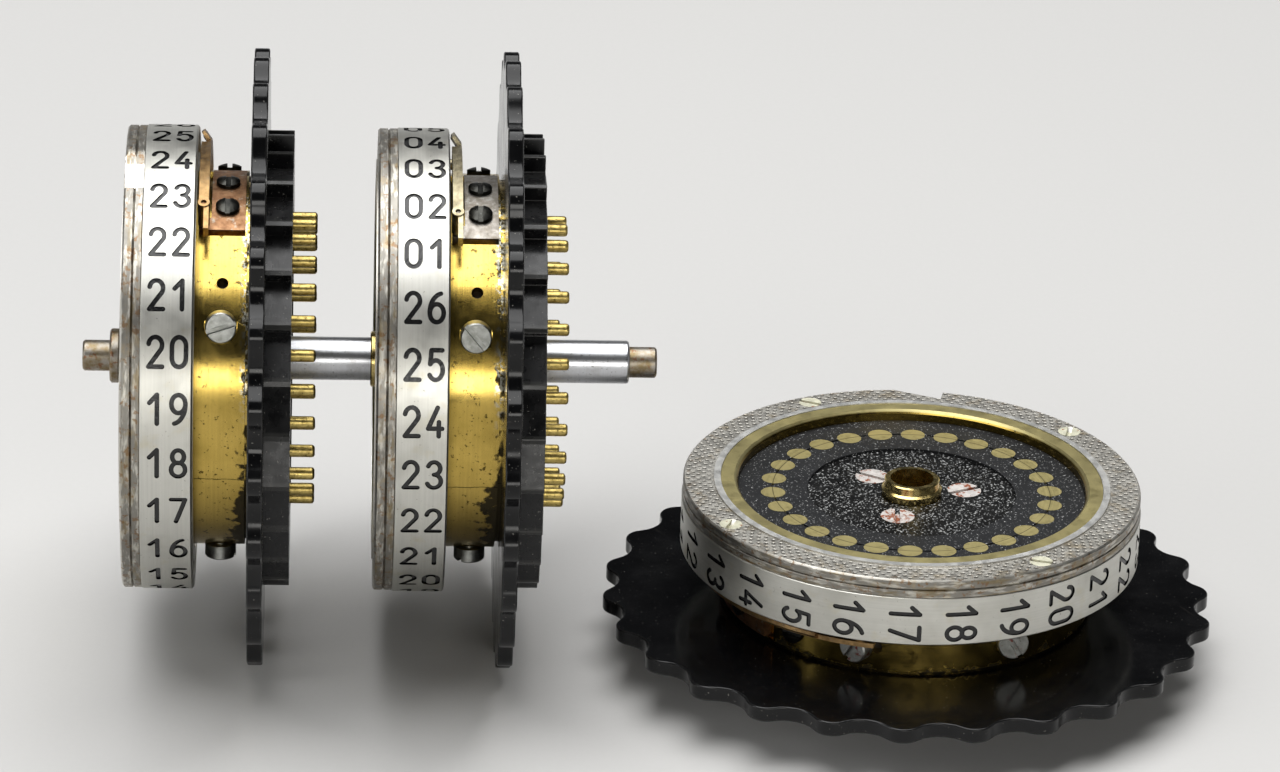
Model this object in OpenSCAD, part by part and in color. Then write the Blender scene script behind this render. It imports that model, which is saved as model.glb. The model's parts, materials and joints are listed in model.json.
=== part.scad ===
// Rotor set of a cipher machine: two numbered rotors on their spindle, standing on the edges of
// their thumbwheels, and a third rotor lying beside them on its spring pins, contacts upward.
// Frame: +X along the spindle, +Z up, origin under the middle of the set on the table.

/* [Positions] */
// Contacts, numbers, thumbwheel lobes and ratchet teeth around each rotor
positions = 26; // [24:2:28]
// Distance between the two rotors on the spindle
rotor_spacing = 40.2; // [38:0.2:46]
// Distance along X from the left rotor's thumbwheel to the axis of the loose rotor
loose_x = 107.9; // [106:0.1:130]
// Distance of that axis in front of the spindle
loose_front = 3.8; // [0:0.1:20]
// Turn of each rotor's core: left, middle, loose
core_turns = [3.8, 1.8, 119.8]; // [0:0.1:360]
// Number that faces the front of each rotor: left, middle, loose
front_number = [20, 25, 17]; // [1:1:24]
// Angle of that number from the horizontal front: left, middle, loose
front_angle = [24.7, 22.4, -95.4]; // [-100:0.1:60]
// Steps from number 1 to the steep side of each carry notch: left, middle, loose
notch_steps = [22.2, 14.5, 2.5]; // [0:0.1:25]

/* [Thumbwheel and ratchet] */
// Diameter of the thumbwheel over its lobes
thumb_d = 100; // [98:0.5:106]
// Thickness of the thumbwheel
thumb_t = 2.5; // [2:0.1:3.5]
// Radius of a lobe's rounded top
lobe_r = 3.2; // [2.8:0.1:3.4]
// Radius of the hollow between two lobes
hollow_r = 5; // [4.6:0.1:6]
// Diameter of the ratchet wheel over its teeth
ratchet_d = 73.6; // [70:0.2:76]
// Thickness of the ratchet wheel
ratchet_t = 4.1; // [3.5:0.1:5]
// Depth of a ratchet tooth
tooth_depth = 2.7; // [2:0.1:3.2]
// Angle from a lobe's middle to the steep side of a tooth
tooth_lead = 2.7; // [0:0.1:10]
// Width of the flat land on a tooth's tip
tooth_land = 0.8; // [0.4:0.1:1.2]

/* [Drum] */
// Diameter of the bare brass drum
drum_d = 60.4; // [60:0.1:61]
// Bore of the drum
drum_bore = 56.8; // [56:0.1:57.2]
// Length of drum that shows between the thumbwheel and the number ring
drum_show = 8.7; // [8.4:0.1:10]
// Step of radius from the drum up to the seat of the number ring
seat_step = 0.6; // [0.4:0.1:0.8]
// Overhang of the rim that traps the ring on its seat
rim_step = 0.4; // [0.3:0.1:0.5]
// Thickness of that rim at its edge
rim_t = 1; // [0.8:0.1:1.4]
// Bevel on the rim's inner edge
rim_bevel = 0.6; // [0.4:0.1:0.8]
// Width of the shadow joint between drum and thumbwheel
joint_w = 0.6; // [0.4:0.1:0.8]
// Depth of that joint
joint_depth = 0.9; // [0.5:0.1:1.2]
// Depth of the milled bed that the lever's bracket lies in
bed_depth = 1; // [0.8:0.1:1.2]
// Diameter of the small tapped holes for set screws
set_hole_d = 1.9; // [1.5:0.1:2.2]
// Places of those holes round the drum
set_hole_at = [42.5, 136.5]; // [0:0.5:200]

/* [Rings] */
// Diameter of the number ring
ring_d = 75; // [74.6:0.1:76]
// Width of the number ring
band_w = 8.3; // [8:0.1:9.5]
// Width of the notch ring, with its knurled face
notch_ring_w = 3.1; // [2.8:0.1:4]
// Width of the knurled plate's edge beyond its seam
plate_w = 1.7; // [1.4:0.1:2]
// Difference of radius between the number ring and the notch ring
notch_ring_drop = 0.15; // [0.1:0.05:0.3]
// Depth of the carry notch
notch_depth = 3; // [2:0.1:3.2]
// Width of the plain lip inside the knurled face
lip_w = 1.1; // [0.8:0.1:1.2]
// Height of that lip over the knurled face
lip_rise = 0.25; // [0.1:0.05:0.3]
// Chamfer on the rings' edges
ring_chamfer = 0.3; // [0.2:0.05:0.4]
// Radius of the circle of index holes
index_r = 34.3; // [34:0.1:34.6]
// Diameter of an index hole
index_hole_d = 2; // [1.8:0.1:2.2]
// Width of the groove that joins the index holes
index_groove_w = 2.4; // [2.2:0.1:2.5]
// Depth of that groove
index_groove_depth = 1.4; // [1.2:0.1:1.6]

/* [Contacts and pins] */
// Diameter of the circle of contacts and pins
contact_circle_d = 45.4; // [44.8:0.2:46]
// Diameter of a contact plate
contact_d = 4; // [3.6:0.1:4.2]
// Thickness of a contact plate
contact_t = 1.2; // [1:0.1:1.5]
// Depth of the contact face below the knurled face
contact_recess = 1.7; // [1.4:0.1:2]
// Thickness of the contact disc
disc_t = 5.5; // [5:0.1:6]
// Diameter of a spring pin
pin_d = 2; // [1.8:0.1:2.2]
// Length of pin that stands out of the ratchet wheel
pin_reach = 3.9; // [3.4:0.1:4.4]
// Diameter of the collar that stops a pin
collar_d = 2.9; // [2.7:0.1:3.1]
// Thickness of that collar
collar_t = 1.2; // [1:0.1:1.4]
// Radius of a pin's rounded tip
pin_tip_r = 0.5; // [0.3:0.1:0.7]
// Length that the pin carrier reaches into the drum
carrier_t = 7; // [6.8:0.1:7.6]
// Diameter of the carrier's boss, which carries both wheels
boss_d = 52; // [51:0.2:53]
// Depth of the carrier's face inside the ratchet wheel
boss_recess = 0.2; // [0.1:0.1:0.5]
// Diameter of a wire
wire_d = 0.8; // [0.6:0.1:0.9]
// Steps that each wire leads on round the rotor
wire_steps = 3; // [1:1:3]
// Diameter of the dark cover in the middle of the contact face
cover_d = 34; // [33:0.5:36]
// Thickness of that cover
cover_t = 1.8; // [1.6:0.1:2.2]
// Depth of the cover below the contact face
cover_sink = 0.4; // [0.2:0.05:0.6]

/* [Hub and spindle] */
// Diameter of the spindle
spindle_d = 7; // [6.6:0.1:7.2]
// Diameter of the spindle's two turned ends
journal_d = 5; // [4.5:0.1:5.5]
// Length of the left end
journal_left = 4.4; // [4:0.1:6]
// Length of the right end
journal_right = 4.5; // [4:0.1:6]
// Length of the shaft that carries the rotors
spindle_l = 82.2; // [80:0.1:100]
// Diameter of the collar that stops the rotors
stop_d = 8.8; // [8.4:0.1:9.4]
// Width of that collar
stop_w = 1.75; // [1.5:0.05:2]
// Gap between that collar and the left rotor's bush
stop_gap = 0.1; // [0.05:0.01:0.2]
// Diameter of the hub bush inside the rotor
hub_d = 9.6; // [9.4:0.1:10]
// Diameter of the hub bush's lip
hub_lip_d = 9; // [8.6:0.1:9.2]
// Height of the hub bush over the knurled face
hub_rise = 0.8; // [0.6:0.1:1.2]
// Width of the lip
hub_lip_w = 1.7; // [1.4:0.1:1.7]
// Depth of the hub bush's other end inside the ratchet wheel
hub_recess = 0.3; // [0.2:0.1:0.6]

/* [Setting lever] */
// Angle of the lever's pivot on the drum
pivot_at = 63.3; // [62:0.1:65]
// Angle that the lever's tail reaches past the pivot
tail_angle = 8.5; // [4:0.5:9]
// Angle at which the lever ends
lever_end_at = 137; // [134:0.5:138]
// Angle at which its backing pad ends
pad_end_at = 98.5; // [96:0.5:100]
// Thickness of the lever's leaf and of the pad on it
leaf_t = 0.8; // [0.6:0.05:0.8]
// Gap between the pad and the number ring
pad_gap = 0.4; // [0.3:0.05:0.5]
// Outer radius of the leaf
leaf_r1 = 35.4; // [35.2:0.1:35.6]
// Width of the leaf
leaf_w = 2.3; // [2.1:0.1:2.3]
// Diameter of the index pin
index_pin_d = 1.8; // [1.6:0.1:1.9]
// Reach of the index pin into the groove
index_pin_reach = 1.1; // [0.9:0.1:1.1]
// Angle between the index pin and the lever's end
index_pin_back = 4; // [3.5:0.5:5]
// Diameter of the pivot pin
pivot_d = 0.8; // [0.7:0.1:0.9]
// Angles at which the finger lip starts and ends
lip_at = [100, 122]; // [96:0.5:126]
// Height of the finger lip over the leaf's edge
finger_rise = 1.5; // [1.2:0.1:1.6]
// Angle at which the bracket ends
bracket_end_at = 97.5; // [95:0.5:99]
// Thickness of the bracket
bracket_t = 1.5; // [1.3:0.05:1.6]
// Width of the bracket
bracket_w = 5.4; // [5:0.1:5.6]
// Gap between the bracket and the thumbwheel
bracket_gap = 0.9; // [0.8:0.1:1]

/* [Screws] */
// Places of the bracket's screws round the drum
bracket_screw_at = [70.2, 83.9]; // [69:0.1:92]
// Place of the third such screw, on the bare drum
lone_screw_at = 108.5; // [105:0.5:112]
// Shank diameter of a bracket screw
bracket_shank_d = 1.8; // [1.6:0.1:2]
// Reach of its shank below the bracket's bed
bracket_shank_reach = 1; // [0.8:0.1:1.2]
// Head diameter of a bracket screw
bracket_head_d = 3.8; // [3.4:0.1:4]
// Head height of a bracket screw
bracket_head_h = 1.15; // [1:0.05:1.3]
// Places of the drum's screws round the drum
drum_screw_at = [29.2, 131, 179.5, 291]; // [0:0.1:360]
// Shank diameter of a drum screw
drum_shank_d = 2.4; // [2:0.1:3]
// Head diameter of a drum screw
drum_head_d = 5; // [4.6:0.1:5.2]
// Head height of a drum screw
drum_head_h = 2.3; // [1.8:0.1:2.6]
// Angle that the drum screws lean back from square
drum_lean = 22; // [10:1:24]
// Depth of the flat seats of the drum screws
drum_seat = 0.4; // [0.2:0.1:0.6]
// Angle of the slot in the first drum screw of the left, the middle and the loose rotor
drum_slot_at = [18, -50, 90]; // [-90:1:90]
// Turn of the slot from one drum screw to the next
drum_slot_step = 60; // [0:1:90]
// Places of the notch ring's screws from number 1
ring_screw_at = [354, 72, 166, 259]; // [0:1:360]
// Radius of the circle of the notch ring's screws
ring_screw_r = 34.8; // [34.5:0.1:35]
// Shank diameter of a ring screw
ring_shank_d = 1.8; // [1.6:0.1:2]
// Length of a ring screw
ring_screw_l = 7; // [6:0.1:8]
// Angle of the slot in each ring screw
ring_slot_at = 40; // [0:1:180]
// Head diameter of a ring screw
ring_head_d = 3.8; // [3.4:0.1:4]
// Number of cover screws
cover_screws = 3; // [2:1:4]
// Place of the first cover screw
cover_screw_at = -108.4; // [-180:0.1:180]
// Radius of the circle of cover screws
cover_screw_r = 9; // [8.6:0.1:10]
// Shank diameter of a cover screw
cover_shank_d = 2.6; // [2:0.1:2.8]
// Angle of the slot in each cover screw
cover_slot_at = 15; // [0:1:180]
// Head diameter of a cover screw
cover_head_d = 5.6; // [5:0.1:5.8]
// Width of a screw slot
slot_w = 0.8; // [0.6:0.1:1]
// Depth of a screw slot
slot_depth = 0.7; // [0.5:0.1:0.9]

/* [Fits] */
// Radial gap of a running fit
run_gap = 0.05; // [0.03:0.01:0.08]
// Gap between two pieces that are fixed together
seat_gap = 0.03; // [0.02:0.01:0.05]

/* [Hidden] */

$fn = 96;
LEFT = 0;
MIDDLE = 1;
LOOSE = 2;
step = 360 / positions;
cut = 1;                                   // how far a cutting shape runs past a face

// Heights in a rotor's own frame: +Z towards the contacts, 0 at the thumbwheel's drum side
ratchet_z = -thumb_t - ratchet_t;          // outer face of the ratchet wheel
tip_z = ratchet_z - pin_reach;             // tips of the spring pins
band_z = drum_show;                        // pin side of the number ring
seam_z = band_z + band_w;                  // joint between number ring and notch ring
face_z = seam_z + notch_ring_w;            // knurled face
rim_z = face_z + lip_rise / 2;             // top of the drum's rim
contact_z = face_z - contact_recess;       // contact face
disc_z = contact_z - disc_t;               // back of the contact disc
cover_z = contact_z - cover_sink;           // face of the centre cover
stem_z = disc_z - 0.5;                     // back ends of the contact plates
boss_z = ratchet_z + boss_recess;          // outer face of the pin carrier
collar_z = boss_z + 2;                     // seat of the pins' collars
plug_z = carrier_t - 1.5;                  // lower ends of the wires' plugs
screw_z = bracket_gap + bracket_w / 2 + 0.2;  // height of the bracket's screws
drum_screw_z = drum_show / 2 + 0.15;       // height of the drum's screws

// Radii
seat_r = drum_d / 2 + seat_step;           // seat of the number ring
rim_r = seat_r + rim_step;                 // rim of the drum
bed_r = drum_d / 2 - bed_depth;            // bed of the lever's bracket
bracket_r = bed_r + seat_gap + bracket_t;  // outer face of the bracket
lip_r = rim_r + 2 * run_gap + lip_w;       // inner edge of the knurled face
hub_hole_r = hub_d / 2 + run_gap;          // hole of the core round the hub bush
circle_r = contact_circle_d / 2;           // circle of contacts and pins
spring_hole_r = collar_d / 2 + run_gap;    // bore of a pin's collar and spring

// Outline of the thumbwheel: lobes and hollows are arcs that run into each other
lobe_c = thumb_d / 2 - lobe_r;
hollow_c = lobe_c * cos(step / 2)
  + sqrt(pow(lobe_r + hollow_r, 2) - pow(lobe_c * sin(step / 2), 2));
lobe_half = atan2(hollow_c * sin(step / 2), hollow_c * cos(step / 2) - lobe_c);
hollow_half = atan2(lobe_c * sin(step / 2), hollow_c - lobe_c * cos(step / 2));

// Places of the rotors
// A standing rotor's thumbwheel has a hollow at the bottom, so it stands on two lobes
function wheel_turn(rotor) = rotor == LOOSE ? core_turns[LOOSE] : -90;
function ring_turn(rotor) = front_angle[rotor] - (front_number[rotor] - 1) * step;
function lobe_at(rotor, i) = wheel_turn(rotor) + (i + 0.5) * step;
function wheel_reach(rotor, toward) = lobe_r
  + max([for (i = [0:positions - 1]) lobe_c * cos(lobe_at(rotor, i) - toward)]);
axis_z = max(wheel_reach(LEFT, -90), wheel_reach(MIDDLE, -90));
spindle_x = -face_z - hub_rise - stop_gap - stop_w - journal_left;
mid_x = (spindle_x + loose_x + wheel_reach(LOOSE, 0)) / 2;
front_y = -loose_front - wheel_reach(LOOSE, -90);
mid_y = (front_y + max(wheel_reach(LEFT, 180), wheel_reach(LOOSE, 90) - loose_front)) / 2;

module stand(rotor) {
  if (rotor == LOOSE)
    translate([loose_x - mid_x, -loose_front - mid_y, -tip_z]) children();
  else
    translate([rotor * rotor_spacing - mid_x, -mid_y, axis_z]) rotate([90, 0, -90]) children();
}
module core(rotor) stand(rotor) rotate([0, 0, core_turns[rotor]]) children();
module wheel(rotor) stand(rotor) rotate([0, 0, wheel_turn(rotor)]) children();
module ring(rotor) stand(rotor) rotate([0, 0, ring_turn(rotor)]) children();
module hub(rotor) stand(rotor) children();

// Copies of a piece at every position round the axis, at the contacts' angles
module round_positions(radius, phase = 0.5)
  for (i = [0:positions - 1]) rotate([0, 0, (i + phase) * step]) translate([radius, 0, 0]) children();

module tube(r0, r1, z0, z1) translate([0, 0, z0]) difference() {
  cylinder(r = r1, h = z1 - z0);
  translate([0, 0, -cut]) cylinder(r = r0, h = z1 - z0 + 2 * cut);
}

// Part of a turned ring, between two angles, from a profile in radius and height
module arc_of(from, to) rotate([0, 0, from]) rotate_extrude(angle = to - from) children();

module block(r0, r1, z0, z1) translate([r0, z0]) square([r1 - r0, z1 - z0]);

// A piece along a radius of the rotor: its own +Z points outward
module outward(at, radius, z) rotate([0, 0, at]) translate([radius, 0, z]) rotate([0, 90, 0]) children();

module slot(at, head_d, top) translate([0, 0, top - slot_depth]) rotate([0, 0, at])
  translate([-head_d, -slot_w / 2, 0]) cube([2 * head_d, slot_w, slot_depth + cut]);

// Countersunk screw, its head flush at height 0
module flush_screw(head_d, shank_d, length, at) difference() {
  union() {
    translate([0, 0, -(head_d - shank_d) / 2]) cylinder(d1 = shank_d, d2 = head_d, h = (head_d - shank_d) / 2);
    translate([0, 0, -length]) cylinder(d = shank_d, h = length - 0.1);
  }
  slot(at, head_d, 0);
}
module flush_hole(head_d, shank_d, length) {
  translate([0, 0, -(head_d - shank_d) / 2])
    cylinder(d1 = shank_d + 2 * seat_gap, d2 = head_d + 2 * seat_gap, h = (head_d - shank_d) / 2);
  cylinder(d = head_d + 2 * seat_gap, h = cut);
  translate([0, 0, -length]) cylinder(d = shank_d + 2 * seat_gap, h = length);
}

module spindle() color("silver") translate([spindle_x - mid_x, -mid_y, axis_z]) rotate([0, 90, 0])
  rotate_extrude() spindle_profile();
module spindle_profile() {
  shaft_z = journal_left + stop_w;
  total = shaft_z + spindle_l + journal_right;
  edge = 0.3;
  polygon([[0, 0], [journal_d / 2 - edge, 0], [journal_d / 2, edge], [journal_d / 2, journal_left],
    [stop_d / 2 - edge, journal_left], [stop_d / 2, journal_left + edge], [stop_d / 2, shaft_z - edge],
    [stop_d / 2 - edge, shaft_z], [spindle_d / 2, shaft_z], [spindle_d / 2, shaft_z + spindle_l - edge],
    [spindle_d / 2 - edge, shaft_z + spindle_l], [journal_d / 2, shaft_z + spindle_l],
    [journal_d / 2, total - edge], [journal_d / 2 - edge, total], [0, total]]);
}

function turned(p, a) = [p.x * cos(a) - p.y * sin(a), p.x * sin(a) + p.y * cos(a)];
module thumb_outline() difference() {
  polygon([for (i = [0:positions - 1]) each concat(
    [for (k = [-4:4]) let (t = k * lobe_half / 4)
      turned([lobe_c + lobe_r * cos(t), lobe_r * sin(t)], (i + 0.5) * step)],
    [for (k = [2:-1:-2]) let (t = 180 + k * hollow_half / 3)
      turned([hollow_c + hollow_r * cos(t), hollow_r * sin(t)], (i + 1) * step)])]);
  circle(r = boss_d / 2 + seat_gap);
}
module thumbwheel() color("#1b1b1c") translate([0, 0, -thumb_t]) linear_extrude(thumb_t) thumb_outline();

// Saw teeth: each steep side faces clockwise, seen from the contacts
function tooth(i, r, lead) = turned([r, 0], (i + 0.5) * step + tooth_lead + lead);
module ratchet_wheel() color("#202021") translate([0, 0, ratchet_z])
  linear_extrude(ratchet_t) difference() {
    tip_r = ratchet_d / 2;
    land = tooth_land / tip_r * 180 / PI;
    polygon([for (i = [0:positions - 1]) each [tooth(i, tip_r - tooth_depth, 0), tooth(i, tip_r, 0),
      tooth(i, tip_r, land)]]);
    circle(r = boss_d / 2 + seat_gap);
  }

module pin_carrier() color("#2b2622") difference() {
  union() {
    translate([0, 0, boss_z]) cylinder(d = boss_d, h = -boss_z);
    translate([0, 0, seat_gap]) cylinder(r = drum_bore / 2 - seat_gap, h = carrier_t - seat_gap);
    translate([0, 0, -cut]) cylinder(d = boss_d, h = 2 * cut);
  }
  translate([0, 0, boss_z - cut]) cylinder(r = hub_hole_r, h = carrier_t - boss_z + 2 * cut);
  round_positions(circle_r) {
    translate([0, 0, boss_z - cut]) cylinder(r = pin_d / 2 + run_gap, h = carrier_t - boss_z);
    translate([0, 0, collar_z]) cylinder(r = spring_hole_r, h = carrier_t - collar_z + cut);
  }
  screw_seats(circle_r + spring_hole_r + 0.4);
}

// Blind holes of the bracket's and the drum's screws, from a radius outward
module screw_seats(from_r) {
  for (at = concat(bracket_screw_at, lone_screw_at))
    outward(at, from_r, screw_z) cylinder(d = bracket_shank_d + 2 * seat_gap, h = drum_d / 2 + cut - from_r);
  for (at = drum_screw_at) leaning(at) {
    translate([0, 0, -4]) cylinder(d = drum_shank_d + 2 * seat_gap, h = 4 + cut);
    translate([0, 0, -drum_seat]) cylinder(d = drum_head_d + 0.3, h = 4);
  }
}
// A drum screw's place: its head leans back against the numbers' order
module leaning(at) rotate([0, 0, at]) translate([drum_d / 2, 0, drum_screw_z]) rotate([0, 0, -drum_lean])
  rotate([0, 90, 0]) children();

module spring_pins() color("#c9a64a") round_positions(circle_r) {
  translate([0, 0, tip_z]) rotate_extrude() {
    translate([0, pin_tip_r]) square([pin_d / 2, collar_z + seat_gap - tip_z - pin_tip_r + 0.1]);
    square([pin_d / 2 - pin_tip_r, 2 * pin_tip_r]);
    intersection() {
      translate([pin_d / 2 - pin_tip_r, pin_tip_r]) circle(r = pin_tip_r);
      square([pin_d, 2 * pin_tip_r]);
    }
  }
  translate([0, 0, collar_z + seat_gap]) cylinder(d = collar_d, h = collar_t);
}

module pin_springs() color("gainsboro") round_positions(circle_r)
  tube(collar_d / 2 - 0.5, collar_d / 2 - 0.05, collar_z + seat_gap + collar_t, plug_z);

// Each wire runs straight from its plug to a contact some steps on, so that no two wires cross
module rod(p, q, d) {
  v = q - p;
  translate(p) rotate([0, acos(v.z / norm(v)), atan2(v.y, v.x)]) cylinder(d = d, h = norm(v), $fn = 24);
}
module wiring() color("#8a5a2b") {
  plug_h = 2.1;
  for (i = [0:positions - 1]) {
    from = (i + 0.5) * step;
    to = from + wire_steps * step;
    rotate([0, 0, from]) translate([circle_r, 0, plug_z]) cylinder(d = collar_d, h = plug_h);
    rotate([0, 0, to]) translate([circle_r, 0, stem_z - 1]) cylinder(d = pin_d, h = 1);
    rod([circle_r * cos(from), circle_r * sin(from), plug_z + plug_h - 0.6],
      [circle_r * cos(to), circle_r * sin(to), stem_z - 0.5], wire_d);
  }
}

module drum() color("#b59a3c") difference() {
  rotate_extrude() polygon([[drum_bore / 2, 0], [drum_d / 2 - joint_depth, 0],
    [drum_d / 2 - joint_depth, joint_w], [drum_d / 2, joint_w], [drum_d / 2, band_z - 0.1],
    [seat_r, band_z - 0.1], [seat_r, rim_z - rim_t], [rim_r, rim_z - rim_t], [rim_r, rim_z],
    [drum_bore / 2 + rim_bevel, rim_z], [drum_bore / 2, rim_z - rim_bevel]]);
  arc_of(pivot_at - 4, bracket_end_at + 3) block(bed_r, drum_d / 2 + cut, bracket_gap, band_z - 0.1);
  screw_seats(drum_bore / 2 - cut);
  for (at = set_hole_at) outward(at, drum_bore / 2 - cut, drum_show / 2) cylinder(d = set_hole_d, h = 4);
}

module contact_disc() color("#2a2b2f") difference() {
  translate([0, 0, disc_z]) cylinder(r = drum_bore / 2 - seat_gap, h = disc_t);
  translate([0, 0, disc_z - cut]) cylinder(r = hub_hole_r, h = disc_t + 2 * cut);
  translate([0, 0, cover_z - cover_t]) cylinder(r = cover_d / 2 + seat_gap, h = cover_t + cover_sink + cut);
  round_positions(circle_r) {
    translate([0, 0, contact_z - contact_t]) cylinder(r = contact_d / 2 + seat_gap, h = contact_t + cut);
    translate([0, 0, disc_z - cut]) cylinder(r = pin_d / 2 + seat_gap, h = disc_t);
  }
  tube(circle_r - 0.2, circle_r + 0.2, contact_z - 0.3, contact_z + cut);
  at_cover_screws() cylinder(d = cover_shank_d + 2 * seat_gap, h = disc_t);
}
module contact_plates() color("#c2ab6a") round_positions(circle_r) {
  translate([0, 0, contact_z - contact_t]) cylinder(d = contact_d, h = contact_t);
  translate([0, 0, stem_z]) cylinder(d = pin_d, h = contact_z - contact_t - stem_z + 0.1);
}

module at_cover_screws() for (i = [0:cover_screws - 1])
  rotate([0, 0, cover_screw_at + i * 360 / cover_screws])
    translate([cover_screw_r, 0, disc_z + 0.6]) children();
module centre_cover() color("#151516") difference() {
  tube(hub_hole_r, cover_d / 2, cover_z - cover_t, cover_z);
  at_cover_screws() translate([0, 0, cover_z - disc_z - 0.6])
    flush_hole(cover_head_d, cover_shank_d, disc_t);
}
module cover_screws() color("#b9b4ac") at_cover_screws()
  translate([0, 0, cover_z - disc_z - 0.6])
    flush_screw(cover_head_d, cover_shank_d, disc_t - 0.7 - cover_sink, cover_slot_at);

module hub_bush() color("#b8973f") {
  hub_z = face_z + hub_rise;
  lip_round = 0.2;
  bore_r = spindle_d / 2 + run_gap;
  bead_z = hub_z - hub_lip_w;
  rotate_extrude() polygon([[bore_r, ratchet_z + hub_recess], [hub_d / 2, ratchet_z + hub_recess],
    [hub_d / 2, bead_z - 0.5], [hub_d / 2 + 0.1, bead_z - 0.3], [hub_d / 2 + 0.1, bead_z],
    [hub_lip_d / 2, bead_z + 0.3], [hub_lip_d / 2, hub_z - lip_round],
    [hub_lip_d / 2 - lip_round, hub_z], [bore_r, hub_z]]);
}

module number_ring() color("#c9c8c0") difference() {
  rotate_extrude() polygon([[seat_r + run_gap, band_z], [ring_d / 2 - ring_chamfer, band_z],
    [ring_d / 2, band_z + ring_chamfer], [ring_d / 2, seam_z - 0.1], [ring_d / 2 - 0.1, seam_z],
    [seat_r + run_gap, seam_z]]);
  tube(index_r - index_groove_w / 2, index_r + index_groove_w / 2, band_z - cut, band_z + index_groove_depth);
  round_positions(index_r, 0) translate([0, 0, band_z]) cylinder(d = index_hole_d, h = 2 * index_groove_depth);
  at_ring_screws() translate([0, 0, -ring_screw_l - 0.2])
    cylinder(d = ring_shank_d + 2 * seat_gap, h = ring_screw_l + 1);
}

module notch_ring(rotor) color("#b3b0a6") difference() {
  plate_z = face_z - plate_w;
  edge_r = ring_d / 2 - notch_ring_drop;
  trap_z = rim_z - rim_t - run_gap;
  rotate_extrude() polygon([[seat_r + run_gap, seam_z], [edge_r - 0.1, seam_z], [edge_r, seam_z + 0.1],
    [edge_r, plate_z - 0.2], [edge_r - 0.3, plate_z], [edge_r, plate_z + 0.2],
    [edge_r, face_z - ring_chamfer], [edge_r - ring_chamfer, face_z], [lip_r, face_z],
    [lip_r, face_z + lip_rise], [rim_r + run_gap, face_z + lip_rise], [rim_r + run_gap, trap_z],
    [seat_r + run_gap, trap_z]]);
  notch_cut(edge_r, notch_steps[rotor] * step);
  at_ring_screws() flush_hole(ring_head_d, ring_shank_d, 4);
}
// Saw-shaped carry notch, one step long, its steep side first
module notch_cut(edge_r, from) rotate([0, 0, from]) translate([0, 0, seam_z - cut])
  linear_extrude(notch_ring_w + 2 * cut) polygon([[edge_r - notch_depth, 0], [edge_r + cut, 0],
    [(edge_r + cut) * cos(step), (edge_r + cut) * sin(step)], [edge_r * cos(step), edge_r * sin(step)]]);

module at_ring_screws() for (at = ring_screw_at)
  rotate([0, 0, at]) translate([ring_screw_r, 0, face_z]) children();
module ring_screws() color("#b9b4a6") at_ring_screws()
  flush_screw(ring_head_d, ring_shank_d, ring_screw_l, ring_slot_at);

// The lever is a leaf with a backing pad, a pivot eye at one end and the index pin near the other
module setting_lever(rotor) color(rotor == MIDDLE ? "#b7ab86" : "#b98a52") {
  pad_z = band_z - pad_gap;
  leaf_z = pad_z - 2 * leaf_t;
  leaf_r0 = leaf_r1 - leaf_w;
  eye_r0 = bracket_r + 3 * run_gap;
  eye_r1 = leaf_r1 + 0.2;
  finger = finger_rise * 0.45;
  difference() {
    union() {
      arc_of(pivot_at - tail_angle, lever_end_at) block(leaf_r0, leaf_r1, leaf_z, leaf_z + leaf_t);
      arc_of(pivot_at, pad_end_at) block(leaf_r0 - 1, leaf_r1 - 0.1, leaf_z + leaf_t - 0.2, pad_z);
      arc_of(lip_at[0], lip_at[1]) polygon([[leaf_r1 - 0.2, leaf_z + 0.1], [leaf_r1 + 0.1, leaf_z + 0.1],
        [leaf_r1 + finger_rise, leaf_z + leaf_t + finger / 2], [leaf_r1 + finger_rise - 0.3, pad_z],
        [leaf_r1 - 0.2, leaf_z + leaf_t - 0.1]]);
      outward(pivot_at, eye_r0, leaf_z + leaf_t) cylinder(r = leaf_t + 0.15, h = eye_r1 - eye_r0);
      rotate([0, 0, lever_end_at - index_pin_back]) translate([index_r, 0, leaf_z])
        cylinder(d = index_pin_d, h = band_z + index_pin_reach - leaf_z);
    }
    outward(pivot_at, eye_r0 - cut, leaf_z + leaf_t)
      cylinder(r = pivot_d / 2 + run_gap, h = eye_r1 - eye_r0 + 2 * cut);
  }
}

// The bracket is a curved saddle with a raised ear that holds the lever's pivot pin
module lever_bracket(rotor) color(rotor == MIDDLE ? "#8f8a80" : "#a97a4e") {
  pivot_z = band_z - pad_gap - leaf_t;
  difference() {
    union() {
      arc_of(pivot_at - 2.5, bracket_end_at)
        block(bed_r + seat_gap, bracket_r, bracket_gap + seat_gap, bracket_gap + bracket_w);
      arc_of(pivot_at - 2.5, pivot_at + 2.5)
        block(bed_r + seat_gap, bracket_r, bracket_gap + seat_gap, band_z - pad_gap);
    }
    screw_seats(drum_bore / 2);
  }
  outward(pivot_at, bracket_r - 1, pivot_z) cylinder(d = pivot_d, h = leaf_r1 - bracket_r + 0.8);
}

module dome_screw(shank_l) difference() {
  union() {
    rotate_extrude() intersection() {
      square([bracket_head_d / 2, bracket_head_h]);
      translate([0, bracket_head_h - bracket_head_d]) circle(r = bracket_head_d);
    }
    translate([0, 0, -shank_l]) cylinder(d = bracket_shank_d, h = shank_l + 0.1);
  }
  slot(90, bracket_head_d, bracket_head_h);
}
module bracket_screws() color("#33332f") {
  for (at = bracket_screw_at) outward(at, bracket_r, screw_z)
    dome_screw(bracket_t + bed_depth + bracket_shank_reach);
  outward(lone_screw_at, drum_d / 2, screw_z) dome_screw(bed_depth + bracket_shank_reach);
}

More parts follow.
